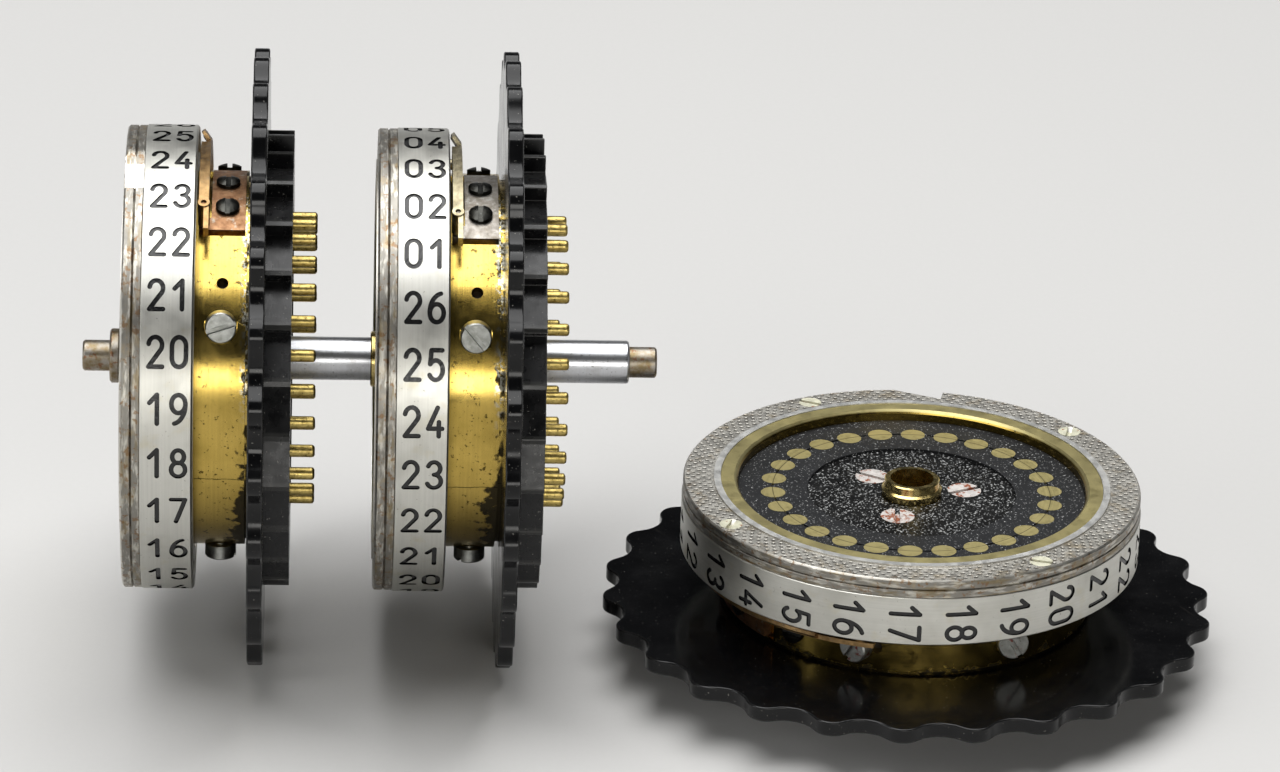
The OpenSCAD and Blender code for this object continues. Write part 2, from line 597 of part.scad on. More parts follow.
module drum_screws(rotor) color("#8b8b87") for (i = [0:len(drum_screw_at) - 1])
  leaning(drum_screw_at[i]) translate([0, 0, seat_gap - drum_seat]) difference() {
    union() {
      cylinder(d = drum_head_d, h = drum_head_h - 0.2);
      translate([0, 0, drum_head_h - 0.2]) cylinder(d1 = drum_head_d, d2 = drum_head_d - 0.4, h = 0.2);
      translate([0, 0, drum_seat - 3.9]) cylinder(d = drum_shank_d, h = 4);
    }
    slot(drum_slot_at[rotor] + i * drum_slot_step, drum_head_d, drum_head_h);
  }

spindle();

wheel(LEFT) thumbwheel();  // left_thumbwheel
wheel(LEFT) ratchet_wheel();  // left_ratchet_wheel
core(LEFT) pin_carrier();  // left_pin_carrier
core(LEFT) spring_pins();  // left_spring_pins
core(LEFT) pin_springs();  // left_pin_springs
core(LEFT) wiring();  // left_wiring
core(LEFT) drum();  // left_drum
core(LEFT) contact_disc();  // left_contact_disc
core(LEFT) contact_plates();  // left_contact_plates
core(LEFT) centre_cover();  // left_centre_cover
core(LEFT) cover_screws();  // left_cover_screws
hub(LEFT) hub_bush();  // left_hub_bush
ring(LEFT) number_ring();  // left_number_ring
ring(LEFT) notch_ring(LEFT);  // left_notch_ring
ring(LEFT) ring_screws();  // left_ring_screws
core(LEFT) setting_lever(LEFT);  // left_setting_lever
core(LEFT) lever_bracket(LEFT);  // left_lever_bracket
core(LEFT) bracket_screws();  // left_bracket_screws
core(LEFT) drum_screws(LEFT);  // left_drum_screws

wheel(MIDDLE) thumbwheel();  // middle_thumbwheel
wheel(MIDDLE) ratchet_wheel();  // middle_ratchet_wheel
core(MIDDLE) pin_carrier();  // middle_pin_carrier
core(MIDDLE) spring_pins();  // middle_spring_pins
core(MIDDLE) pin_springs();  // middle_pin_springs
core(MIDDLE) wiring();  // middle_wiring
core(MIDDLE) drum();  // middle_drum
core(MIDDLE) contact_disc();  // middle_contact_disc
core(MIDDLE) contact_plates();  // middle_contact_plates
core(MIDDLE) centre_cover();  // middle_centre_cover
core(MIDDLE) cover_screws();  // middle_cover_screws
hub(MIDDLE) hub_bush();  // middle_hub_bush
ring(MIDDLE) number_ring();  // middle_number_ring
ring(MIDDLE) notch_ring(MIDDLE);  // middle_notch_ring
ring(MIDDLE) ring_screws();  // middle_ring_screws
core(MIDDLE) setting_lever(MIDDLE);  // middle_setting_lever
core(MIDDLE) lever_bracket(MIDDLE);  // middle_lever_bracket
core(MIDDLE) bracket_screws();  // middle_bracket_screws
core(MIDDLE) drum_screws(MIDDLE);  // middle_drum_screws

wheel(LOOSE) thumbwheel();  // loose_thumbwheel
wheel(LOOSE) ratchet_wheel();  // loose_ratchet_wheel
core(LOOSE) pin_carrier();  // loose_pin_carrier
core(LOOSE) spring_pins();  // loose_spring_pins
core(LOOSE) pin_springs();  // loose_pin_springs
core(LOOSE) wiring();  // loose_wiring
core(LOOSE) drum();  // loose_drum
core(LOOSE) contact_disc();  // loose_contact_disc
core(LOOSE) contact_plates();  // loose_contact_plates
core(LOOSE) centre_cover();  // loose_centre_cover
core(LOOSE) cover_screws();  // loose_cover_screws
hub(LOOSE) hub_bush();  // loose_hub_bush
ring(LOOSE) number_ring();  // loose_number_ring
ring(LOOSE) notch_ring(LOOSE);  // loose_notch_ring
ring(LOOSE) ring_screws();  // loose_ring_screws
core(LOOSE) setting_lever(LOOSE);  // loose_setting_lever
core(LOOSE) lever_bracket(LOOSE);  // loose_lever_bracket
core(LOOSE) bracket_screws();  // loose_bracket_screws
core(LOOSE) drum_screws(LOOSE);  // loose_drum_screws
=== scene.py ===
"""Looks of a set of numbered rotors: two on a steel spindle and one lying beside them."""

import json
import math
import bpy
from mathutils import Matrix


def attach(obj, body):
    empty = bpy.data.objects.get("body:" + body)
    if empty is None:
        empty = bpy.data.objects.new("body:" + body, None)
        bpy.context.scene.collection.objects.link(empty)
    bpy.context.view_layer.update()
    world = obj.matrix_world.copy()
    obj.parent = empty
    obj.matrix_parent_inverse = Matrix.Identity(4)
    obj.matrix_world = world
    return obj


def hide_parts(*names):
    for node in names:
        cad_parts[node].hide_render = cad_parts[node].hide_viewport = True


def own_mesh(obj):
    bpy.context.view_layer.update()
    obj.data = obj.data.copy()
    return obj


bl_info = {
    "name": "Numbered Rotor Set",
    "version": (1, 0, 0),
    "blender": (4, 5, 0),
    "location": "View3D > Sidebar > Rotors",
    "description": "Dresses the packed rotor set with its edges, numerals, finishes and stage",
    "category": "Object",
}

import bmesh
import bpy
import numpy as np
from mathutils import Matrix, Vector, geometry

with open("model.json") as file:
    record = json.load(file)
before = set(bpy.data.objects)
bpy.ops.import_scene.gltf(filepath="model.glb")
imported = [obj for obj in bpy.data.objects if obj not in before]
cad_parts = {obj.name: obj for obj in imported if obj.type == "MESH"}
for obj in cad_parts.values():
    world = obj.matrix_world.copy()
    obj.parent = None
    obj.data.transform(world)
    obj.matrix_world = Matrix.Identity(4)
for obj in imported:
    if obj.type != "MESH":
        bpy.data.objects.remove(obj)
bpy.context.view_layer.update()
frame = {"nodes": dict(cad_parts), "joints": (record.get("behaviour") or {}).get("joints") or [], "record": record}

MM = 0.001
ROTORS = ("left", "middle", "loose")
STEP = 360 / 26
PIVOT_AT = 63.3  # the lever's pivot, in degrees round the core
# Heights and radii of one rotor in mm: 0 at the thumbwheel's drum side, up towards the contacts
BAND_Z, SEAM_Z, FACE_Z, RIM_Z = 8.7, 17.0, 20.1, 20.225  # number band, knurled face, drum's rim
BAND_R, LAND_R, LIP_R, CIRCLE_R = 37.5, 36.55, 32.4, 22.7  # band, ratchet's lands, lip, contact circle
SPRING_FROM_Z, SPRING_TO_Z, COIL_R = -3.17, 5.5, 1.2
RING_SCREW_R, RING_SCREWS_AT = 34.8, (354, 72, 166, 259)
KNURL, KNURLS_ROUND = 0.85, 130  # knurls are drawn this far apart, and this many round the plate
JOINT_AT = -20  # the joint of the drum's two halves, in degrees round the core
LEFT_END_Z, RIGHT_END_Z = 20.9, -61.1  # where the spindle's ends begin, from the left rotor's thumbwheel
NUMERAL_WIDE, NUMERAL_GAP, NUMERAL_Z = 2.95, 0.75, 12.7  # one digit, between two, and their middle
# Lamps: place and target in m, width, length, power in W and tint. The soft box overhead and the two
# cards show as bands of light on the drums
LAMPS = {
    "overhead": ((-0.1, 0.1, 1.1), (0, 0, 0), 1.5, 0.9, 20, "#ffffff"),
    "front_card": ((0.25, -1.25, 0.3), (0, 0, 0.05), 0.9, 0.3, 5, "#fffdf8"),
    "left_card": ((-1.1, -0.3, 0.5), (0, 0, 0.05), 0.5, 0.7, 3.5, "#fbfdff"),
}
FLOOR_REACH = 4  # m from the middle of the floor to each side
EYE_AT, EYE_YAW, EYE_PITCH, EYE_ROLL = (-0.05355, -1.00535, 0.49186), 2.906, 23.57, 1.917  # m, degrees
EYE_SHIFT = (0.0001, -0.0284)  # shares of the sensor's width


def hue(text):
    """Linear colour from an sRGB hex value such as #c6c5bd."""
    parts = [int(text[i : i + 2], 16) / 255 for i in (1, 3, 5)]
    return tuple(c / 12.92 if c <= 0.04045 else ((c + 0.055) / 1.055) ** 2.4 for c in parts) + (1.0,)


# ---------------------------------------------------------------- settings


class RotorSizes(bpy.types.PropertyGroup):
    """Sizes of the details that the looks add."""

    wheel_edge: bpy.props.FloatProperty(
        name="Wheel edge", description="Rounding of the thumbwheels' edges",
        default=0.3 * MM, unit="LENGTH", subtype="DISTANCE")
    turned_edge: bpy.props.FloatProperty(
        name="Turned edge", description="Rounding of edges left by the lathe",
        default=0.12 * MM, unit="LENGTH", subtype="DISTANCE")
    small_edge: bpy.props.FloatProperty(
        name="Small edge", description="Rounding of screws, levers and teeth",
        default=0.09 * MM, unit="LENGTH", subtype="DISTANCE")
    numeral_height: bpy.props.FloatProperty(
        name="Numeral height", description="Height of a numeral",
        default=5.4 * MM, unit="LENGTH", subtype="DISTANCE")
    numeral_stroke: bpy.props.FloatProperty(
        name="Numeral stroke", description="Width of the engraved groove",
        default=0.75 * MM, unit="LENGTH", subtype="DISTANCE")
    numeral_depth: bpy.props.FloatProperty(
        name="Numeral depth", description="Depth of the engraved groove",
        default=0.22 * MM, unit="LENGTH", subtype="DISTANCE")
    spring_wire: bpy.props.FloatProperty(
        name="Spring wire", description="Thickness of a pin spring's wire",
        default=0.36 * MM, unit="LENGTH", subtype="DISTANCE")
    spring_turns: bpy.props.IntProperty(
        name="Spring turns", description="Turns of a pin spring", default=9, min=5, max=12)


class RotorNumbers(bpy.types.PropertyGroup):
    """Which number each ring shows at the front, and where."""

    front_number: bpy.props.IntVectorProperty(
        name="Front numbers", description="Number at the front of the left, middle and loose rotor",
        default=(20, 25, 17), size=3, min=1, max=26)
    front_angle: bpy.props.FloatVectorProperty(
        name="Front angles", description="Where that number stands, from the rotor's horizontal",
        default=[math.radians(a) for a in (24.7, 22.4, -95.4)], size=3, subtype="EULER", unit="ROTATION")


class RotorColours(bpy.types.PropertyGroup):
    """Main colours of the larger pieces."""

    nickel_silver: bpy.props.FloatVectorProperty(
        name="Nickel silver", description="Number rings",
        default=hue("#c9c8c1")[:3], size=3, min=0, max=1, subtype="COLOR")
    numeral_black: bpy.props.FloatVectorProperty(
        name="Numeral black", description="Lacquer in the engraved numerals",
        default=hue("#0c0c0d")[:3], size=3, min=0, max=1, subtype="COLOR")
    knurled_steel: bpy.props.FloatVectorProperty(
        name="Knurled steel", description="Notch rings",
        default=hue("#cfccc4")[:3], size=3, min=0, max=1, subtype="COLOR")
    drum_brass: bpy.props.FloatVectorProperty(
        name="Drum brass", description="Turned drums",
        default=hue("#c2a656")[:3], size=3, min=0, max=1, subtype="COLOR")
    rim_brass: bpy.props.FloatVectorProperty(
        name="Rim brass", description="Flat rims of the drums",
        default=hue("#c6bb86")[:3], size=3, min=0, max=1, subtype="COLOR")
    bright_brass: bpy.props.FloatVectorProperty(
        name="Bright brass", description="Hub bushes",
        default=hue("#dcc684")[:3], size=3, min=0, max=1, subtype="COLOR")
    wheel_black: bpy.props.FloatVectorProperty(
        name="Wheel black", description="Thumbwheels",
        default=hue("#09090a")[:3], size=3, min=0, max=1, subtype="COLOR")
    disc_grey: bpy.props.FloatVectorProperty(
        name="Disc grey", description="Contact discs",
        default=hue("#17181a")[:3], size=3, min=0, max=1, subtype="COLOR")
    pin_brass: bpy.props.FloatVectorProperty(
        name="Pin brass", description="Spring pins",
        default=hue("#bda867")[:3], size=3, min=0, max=1, subtype="COLOR")
    spindle_steel: bpy.props.FloatVectorProperty(
        name="Spindle steel", description="The spindle",
        default=hue("#c4c5c8")[:3], size=3, min=0, max=1, subtype="COLOR")


class RotorStage(bpy.types.PropertyGroup):
    """Floor, lamps and camera."""

    floor_colour: bpy.props.FloatVectorProperty(
        name="Floor", description="Colour of the floor",
        default=hue("#cbcac8")[:3], size=3, min=0, max=1, subtype="COLOR")
    room_strength: bpy.props.FloatProperty(
        name="Room", description="Strength of the even light of the room", default=0.6, min=0)
    lens: bpy.props.FloatProperty(
        name="Lens", description="Focal length on a 36 mm wide sensor, in mm", default=190.85, min=20)


# ---------------------------------------------------------------- places


def axis_of(rotor):
    """A rotor's own frame in the scene, in mm: +Z towards the contacts, not turned with its core."""
    name = f"{rotor}_ring_turn"
    at = Vector(next(j["pos_m"] for j in frame["joints"] if j["name"] == name)) / MM
    if rotor == "loose":
        return Matrix.Translation(at)
    return Matrix.Translation(at) @ Matrix(((0, 0, -1, 0), (-1, 0, 0, 0), (0, 1, 0, 0), (0, 0, 0, 1)))


def core_frame(rotor):
    """The frame that turns with the rotor's core, whose angle is read from its lever's pivot."""
    name = f"{rotor}_lever_lift"
    pivot = Vector(next(j["pos_m"] for j in frame["joints"] if j["name"] == name)) / MM
    local = axis_of(rotor).inverted() @ pivot
    return axis_of(rotor) @ Matrix.Rotation(math.atan2(local.y, local.x) - math.radians(PIVOT_AT), 4, "Z")


def ring_frame(rotor):
    """The frame that turns with the number ring: number 1 at angle 0."""
    numbers = bpy.context.scene.rotor_numbers
    i = ROTORS.index(rotor)
    turn = numbers.front_angle[i] - math.radians((numbers.front_number[i] - 1) * STEP)
    return axis_of(rotor) @ Matrix.Rotation(turn, 4, "Z")


# ---------------------------------------------------------------- pieces


def body_with(node):
    """The body that holds a node."""
    return next(name for name, nodes in frame["record"]["behaviour"]["bodies"].items() if node in nodes)


def mark_place(mesh, place):
    """Stores each point's place in the piece's own frame, in mm, for the patterns of its finish."""
    points = np.empty(len(mesh.vertices) * 3)
    mesh.vertices.foreach_get("co", points)
    points = points.reshape(-1, 3) / MM
    inverse = np.array(place.inverted())
    local = points @ inverse[:3, :3].T + inverse[:3, 3]
    attribute = mesh.attributes.new("place", "FLOAT_VECTOR", "POINT")
    attribute.data.foreach_set("vector", local.astype(np.float32).ravel())


def put(name, mesh, nodes, body, materials):
    """Adds a finished mesh to the scene as one piece that stands for the given nodes."""
    piece = bpy.data.objects.new(name, mesh)
    bpy.context.scene.collection.objects.link(piece)
    mesh.materials.clear()
    for material in materials:
        mesh.materials.append(material)
    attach(piece, body)
    if nodes:
        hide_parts(*nodes)
    return piece


def dress(node, place, edge, *materials, angle=33, keep=None, segments=2):
    """A copy of a CAD node with its sharp edges rounded and its finish on it."""
    mesh = frame["nodes"][node].data.copy()
    mesh.name = node
    if "custom_normal" in mesh.attributes:
        mesh.attributes.remove(mesh.attributes["custom_normal"])
    form = bmesh.new()
    form.from_mesh(mesh)
    bmesh.ops.remove_doubles(form, verts=form.verts, dist=2e-6)
    if keep:
        bmesh.ops.delete(form, geom=[f for f in form.faces if not keep(f, place)], context="FACES")
    if edge:
        bmesh.ops.dissolve_limit(form, angle_limit=math.radians(0.15), verts=form.verts, edges=form.edges)
    for line in form.edges:
        line.smooth = True
    for face in form.faces:
        face.smooth = True
        face.material_index = 0
    form.to_mesh(mesh)
    form.free()
    if edge:
        # The second slot takes the faces of the roundings
        mesh.materials.clear()
        mesh.materials.append(None)
        mesh.materials.append(None)
        copy = bpy.data.objects.new(node + "_edge", mesh)
        bpy.context.scene.collection.objects.link(copy)
        rounding = copy.modifiers.new("edge", "BEVEL")
        rounding.width = edge
        rounding.segments = segments
        rounding.limit_method = "ANGLE"
        rounding.angle_limit = math.radians(angle)
        rounding.harden_normals = True
        rounding.use_clamp_overlap = True
        rounding.material = 1
        evaluated = copy.evaluated_get(bpy.context.evaluated_depsgraph_get())
        rounded = bpy.data.meshes.new_from_object(evaluated)
        bpy.data.objects.remove(copy)
        bpy.data.meshes.remove(mesh)
        mesh = rounded
        mesh.name = node
    else:
        mesh.set_sharp_from_angle(angle=math.radians(angle))
    worn = np.zeros(len(mesh.polygons), np.int32)
    mesh.polygons.foreach_get("material_index", worn)
    mesh.attributes.new("edge", "FLOAT", "FACE").data.foreach_set("value", (worn > 0).astype(np.float32))
    mesh.polygons.foreach_set("material_index", np.zeros(len(mesh.polygons), np.int32))
    mark_place(mesh, place)
    return put(node + "_dressed", mesh, [node], body_with(node), materials)


def dress_each(part, place_of, edge, finish, **how):
    """Dresses the same piece of all three rotors."""
    for rotor in ROTORS:
        dress(f"{rotor}_{part}", place_of(rotor), edge, finish(), **how)


def arc(cx, cy, rx, ry, start, end, count=14):
    """Points of an arc in a numeral's box, from one angle to another in degrees."""
    turns = [math.radians(start + (end - start) * i / count) for i in range(count + 1)]
    return [(cx + rx * math.cos(turn), cy + ry * math.sin(turn)) for turn in turns]


def six(turned=False):
    """The round-bellied 6, or the 9 that it makes upside down."""
    lines = [arc(0.5, 0.31, 0.5, 0.31, 0, 360, 24), arc(0.95, 0.33, 0.95, 0.67, 180, 100, 10)]
    return [[(1 - x, 1 - y) for x, y in line] for line in lines] if turned else lines


# Middle lines of each numeral's strokes in a box one wide and one high
NUMERALS = {
    "0": [arc(0.5, 0.7, 0.5, 0.3, 0, 180, 16) + arc(0.5, 0.3, 0.5, 0.3, 180, 360, 16) + [(1.0, 0.7)]],
    "1": [[(0.12, 0.72), (0.66, 1.0), (0.66, 0.0)]],
    "2": [arc(0.5, 0.73, 0.48, 0.27, 172, -32, 16) + [(0.02, 0.0), (1.0, 0.0)]],
    "3": [arc(0.48, 0.76, 0.44, 0.24, 160, -90, 16), arc(0.48, 0.26, 0.5, 0.26, 90, -160, 18)],
    "4": [[(0.66, 1.0), (0.0, 0.27), (1.0, 0.27)], [(0.76, 0.5), (0.76, 0.0)]],
    "5": [[(0.92, 1.0), (0.16, 1.0), (0.08, 0.53)] + arc(0.47, 0.33, 0.5, 0.33, 142, -150, 18)],
    "6": six(),
    "7": [[(0.0, 1.0), (1.0, 1.0), (0.34, 0.0)]],
    "8": [arc(0.5, 0.76, 0.42, 0.24, 0, 360, 22), arc(0.5, 0.27, 0.5, 0.27, 0, 360, 24)],
    "9": six(True),
}


def numeral_strokes(sizes):
    """Outlines of all strokes of 01 to 26 on the unrolled band, as (length round the ring, height) in mm."""
    height, stroke = sizes.numeral_height / MM, sizes.numeral_stroke / MM
    tall, wide = height - stroke, NUMERAL_WIDE - stroke
    outlines = []
    for number in range(1, 27):
        at = math.radians((number - 1) * STEP) * BAND_R
        for place, digit in enumerate(f"{number:02d}"):
            # The tens stand nearer the contacts
            start = NUMERAL_Z + (NUMERAL_WIDE * 2 + NUMERAL_GAP) / 2 - stroke / 2
            start -= place * (NUMERAL_WIDE + NUMERAL_GAP)
            for line in NUMERALS[digit]:
                points = [Vector((at + (y - 0.5) * tall, start - x * wide)) for x, y in line]
                for a, b in zip(points, points[1:]):
                    along = (b - a).normalized()
                    side = Vector((-along.y, along.x)) * stroke / 2
                    turn = math.atan2(side.y, side.x)
                    # A round cap at each end
                    caps = []
                    for end, first in ((b, turn), (a, turn + math.pi)):
                        caps += [end + Vector((math.cos(first - t), math.sin(first - t))) * stroke / 2
                                 for t in np.linspace(0, math.pi, 7)]
                    outlines.append(caps[::-1])
    return outlines


def engraved_band(sizes):
    """A number ring's outer face with its numerals cut in: points, faces, their finishes, corner normals."""
    low, high = BAND_Z + 0.28, SEAM_Z - 0.09
    around = 2 * math.pi * BAND_R
    start = -0.5 * math.radians(STEP) * BAND_R
    columns = 26 * 9
    points, edges, faces = [], [], []
    for i in range(columns + 1):
        at = start + around * i / columns
        points += [Vector((at, low)), Vector((at, high))]
        edges.append((2 * i, 2 * i + 1))
    for outline in numeral_strokes(sizes):
        faces.append(list(range(len(points), len(points) + len(outline))))
        points += outline
    flat, _, flat_faces, _, _, inside = geometry.delaunay_2d_cdt(points, edges, faces, 0, 1e-5)
    cut = [bool(owners) for owners in inside]
    verts, kinds, out_faces, normals = [], [], [], []
    number_of = {}

    def corner(index, deep):
        key = (index, deep)
        if key not in number_of:
            a = flat[index].x / BAND_R
            r = BAND_R - (sizes.numeral_depth / MM if deep else 0)
            number_of[key] = len(verts)
            verts.append((r * math.cos(a), r * math.sin(a), flat[index].y))
        return number_of[key]

    def outward(index):
        a = flat[index].x / BAND_R
        return (math.cos(a), math.sin(a), 0.0)

    owner = {}
    for face, deep in zip(flat_faces, cut):
        a, b, c = (flat[i] for i in face)
        if (b - a).cross(c - a) < 0:
            face = face[::-1]
        out_faces.append([corner(i, deep) for i in face])
        kinds.append(int(deep))
        normals += [outward(i) for i in face]
        for i, j in zip(face, list(face[1:]) + [face[0]]):
            owner[(i, j)] = deep
    for (i, j), deep in owner.items():
        if deep and owner.get((j, i)) is False:
            # A wall has points of its own, so that it keeps a sharp edge
            start = len(verts)
            corners = ((i, False), (j, False), (j, True), (i, True))
            verts += [verts[corner(index, sunk)] for index, sunk in corners]
            out_faces.append([start, start + 3, start + 2, start + 1])
            kinds.append(1)
            edge = flat[j] - flat[i]
            side = Vector((-edge.y, edge.x)).normalized()
            a = (flat[i].x + flat[j].x) / 2 / BAND_R
            normals += [(-math.sin(a) * side.x, math.cos(a) * side.x, side.y)] * 4
    return verts, out_faces, kinds, normals


# ---------------------------------------------------------------- finishes


def add(tree, kind, inputs=None, **settings):
    """Adds one node with its settings, and feeds its inputs with values or other nodes' outputs."""
    item = tree.nodes.new("ShaderNode" + kind)
    for name, value in settings.items():
        setattr(item, name, value)
    for key, value in (inputs or {}).items():
        if isinstance(value, bpy.types.NodeSocket):
            tree.links.new(value, item.inputs[key])
        else:
            item.inputs[key].default_value = value
    return item


def begin(name, **fixed):
    """A new material with a Principled shader, and the piece's own place in mm for its patterns."""
    material = bpy.data.materials.new(name)
    material.use_nodes = True
    tree = material.node_tree
    tree.nodes.clear()
    skin = add(tree, "BsdfPrincipled", {key.replace("_", " "): value for key, value in fixed.items()})
    add(tree, "OutputMaterial", {"Surface": skin.outputs["BSDF"]})
    place = add(tree, "Attribute", attribute_name="place").outputs["Vector"]
    return material, tree, skin, place


def coats(tree, tone, *layers):
    """Lays coats over a tone, one by one: each a mask, its colour and, if it is thin, its strength."""
    for share, top, *strength in layers:
        if strength:
            share = add(tree, "Math", {0: share, 1: strength[0]}, operation="MULTIPLY").outputs[0]
        tone = add(tree, "Mix", {0: share, 6: tone, 7: top}, data_type="RGBA").outputs[2]
    return tone


def clad(begun, tone, gloss, *reliefs):
    """Ends a material: its tone, its roughness where a mask is 0 and 1, and its reliefs in mm."""
    material, tree, skin, _ = begun
    tree.links.new(tone, skin.inputs["Base Color"])
    if isinstance(gloss, tuple):
        mask, low, high = gloss
        gloss = add(tree, "MapRange", {"Value": mask, "To Min": low, "To Max": high}).outputs[0]
    if gloss is not None:
        tree.links.new(gloss, skin.inputs["Roughness"])
    below = {}
    for height, depth in reliefs:
        bump = add(tree, "Bump", {"Height": height, "Distance": depth * MM, "Strength": 1.0} | below)
        below = {"Normal": bump.outputs["Normal"]}
    if below:
        tree.links.new(below["Normal"], skin.inputs["Normal"])
    return material


def patches(tree, place, size, low, high, detail=3, seed=0.0):
    """Irregular patches of about this size in mm, other ones on each piece: 0 below low, 1 above high."""
    own = add(tree, "ObjectInfo").outputs["Random"]
    seeds = add(tree, "Math", {0: own, 1: 37.0, 2: seed}, operation="MULTIPLY_ADD").outputs[0]
    noise = add(tree, "TexNoise", {
        "Vector": place, "W": seeds, "Scale": 1 / size, "Detail": detail, "Roughness": 0.6,
    }, noise_dimensions="4D")
    return add(tree, "MapRange", {"Value": noise.outputs[0], "From Min": low, "From Max": high}).outputs[0]


def turning(tree, place, pitch):
    """Fine lines round the axis, as a lathe tool leaves them. Drawn coarser than real, to show."""
    flat = add(tree, "VectorMath", {0: place, 1: (1, 1, 0)}, operation="MULTIPLY").outputs[0]
    radius = add(tree, "VectorMath", {0: flat}, operation="LENGTH").outputs["Value"]
    tall = add(tree, "VectorMath", {0: place, 1: (0.05, 0.05, 1 / pitch)}, operation="MULTIPLY").outputs[0]
    scaled = add(tree, "Math", {0: radius, 1: 1 / pitch}, operation="MULTIPLY").outputs[0]
    lines = add(tree, "TexNoise", {
        "Vector": tall, "W": scaled, "Scale": 1.0, "Detail": 2.0,
    }, noise_dimensions="4D")
    return lines.outputs[0], radius


def between(tree, value, low, high, soft):
    """1 where a value lies between two limits, with soft ends."""
    rise = add(tree, "MapRange", {"Value": value, "From Min": low - soft, "From Max": low + soft})
    fall = add(tree, "MapRange", {"Value": value, "From Min": high + soft, "From Max": high - soft})
    return overlap(tree, rise.outputs[0], fall.outputs[0])


def overlap(tree, share, *others):
    """1 only where all of these masks are 1."""
    for other in others:
        share = add(tree, "Math", {0: share, 1: other}, operation="MULTIPLY").outputs[0]
    return share


def splashes(tree, place, radius, angles, size):
    """Irregular dabs of about this size in mm, at places round a circle."""
    ragged = patches(tree, place, 1.3, 0.2, 0.8, seed=11)
    share = 0.0
    for at in angles:
        spot = (radius * math.cos(math.radians(at)), radius * math.sin(math.radians(at)), FACE_Z)
        away = add(tree, "VectorMath", {0: place, 1: spot}, operation="DISTANCE").outputs["Value"]
        reach = add(tree, "Math", {0: ragged, 1: size, 2: away}, operation="MULTIPLY_ADD").outputs[0]
        dab = add(tree, "MapRange", {
            "Value": reach, "From Min": size + 0.15, "From Max": size - 0.15,
        }).outputs[0]
        share = add(tree, "Math", {0: share, 1: dab}, operation="MAXIMUM").outputs[0]
    return share


def colour(name):
    return tuple(getattr(bpy.context.scene.rotor_colours, name)) + (1.0,)


def shade(base, factor):
    """A darker or lighter version of a colour."""
    return tuple(min(1.0, c * factor) for c in base[:3]) + (1.0,)


made = {}


def finish(function):
    """Keeps each finish, so that like pieces share one material."""
    def get():
        if function.__name__ not in made:
            made[function.__name__] = function()
        return made[function.__name__]
    return get


@finish
def nickel_silver():
    # Nickel silver, turned and satin: fine lines round the ring, a soft sheen, grey smudges, yellow age
    begun = _, tree, _, place = begin("nickel_silver_turned", Metallic=1.0)
    base = colour("nickel_silver")
    lines, _ = turning(tree, place, 0.28)
    tone = coats(
        tree, shade(base, 0.86), (lines, shade(base, 1.1)),
        (patches(tree, place, 11, 0.5, 0.72), hue("#98968c"), 0.5),
        (patches(tree, place, 3.2, 0.56, 0.74, seed=4), hue("#bdb59a"), 0.5),
        (patches(tree, place, 0.45, 0.66, 0.72, seed=9), hue("#5a5347"), 0.55))
    return clad(begun, tone, (patches(tree, place, 5, 0.3, 0.7, seed=2), 0.33, 0.47), (lines, 0.006))


@finish
def numeral_lacquer():
    # Black lacquer wiped into the engraving: glossy, uneven, with small bare spots
    begun = _, tree, _, place = begin("numeral_lacquer", IOR=1.5, Roughness=0.26)
    bare = patches(tree, place, 0.5, 0.6, 0.74)
    tone = coats(tree, colour("numeral_black"), (bare, hue("#3a3a37"), 0.6))
    return clad(begun, tone, None, (patches(tree, place, 0.6, 0.2, 0.8, seed=3), 0.05))


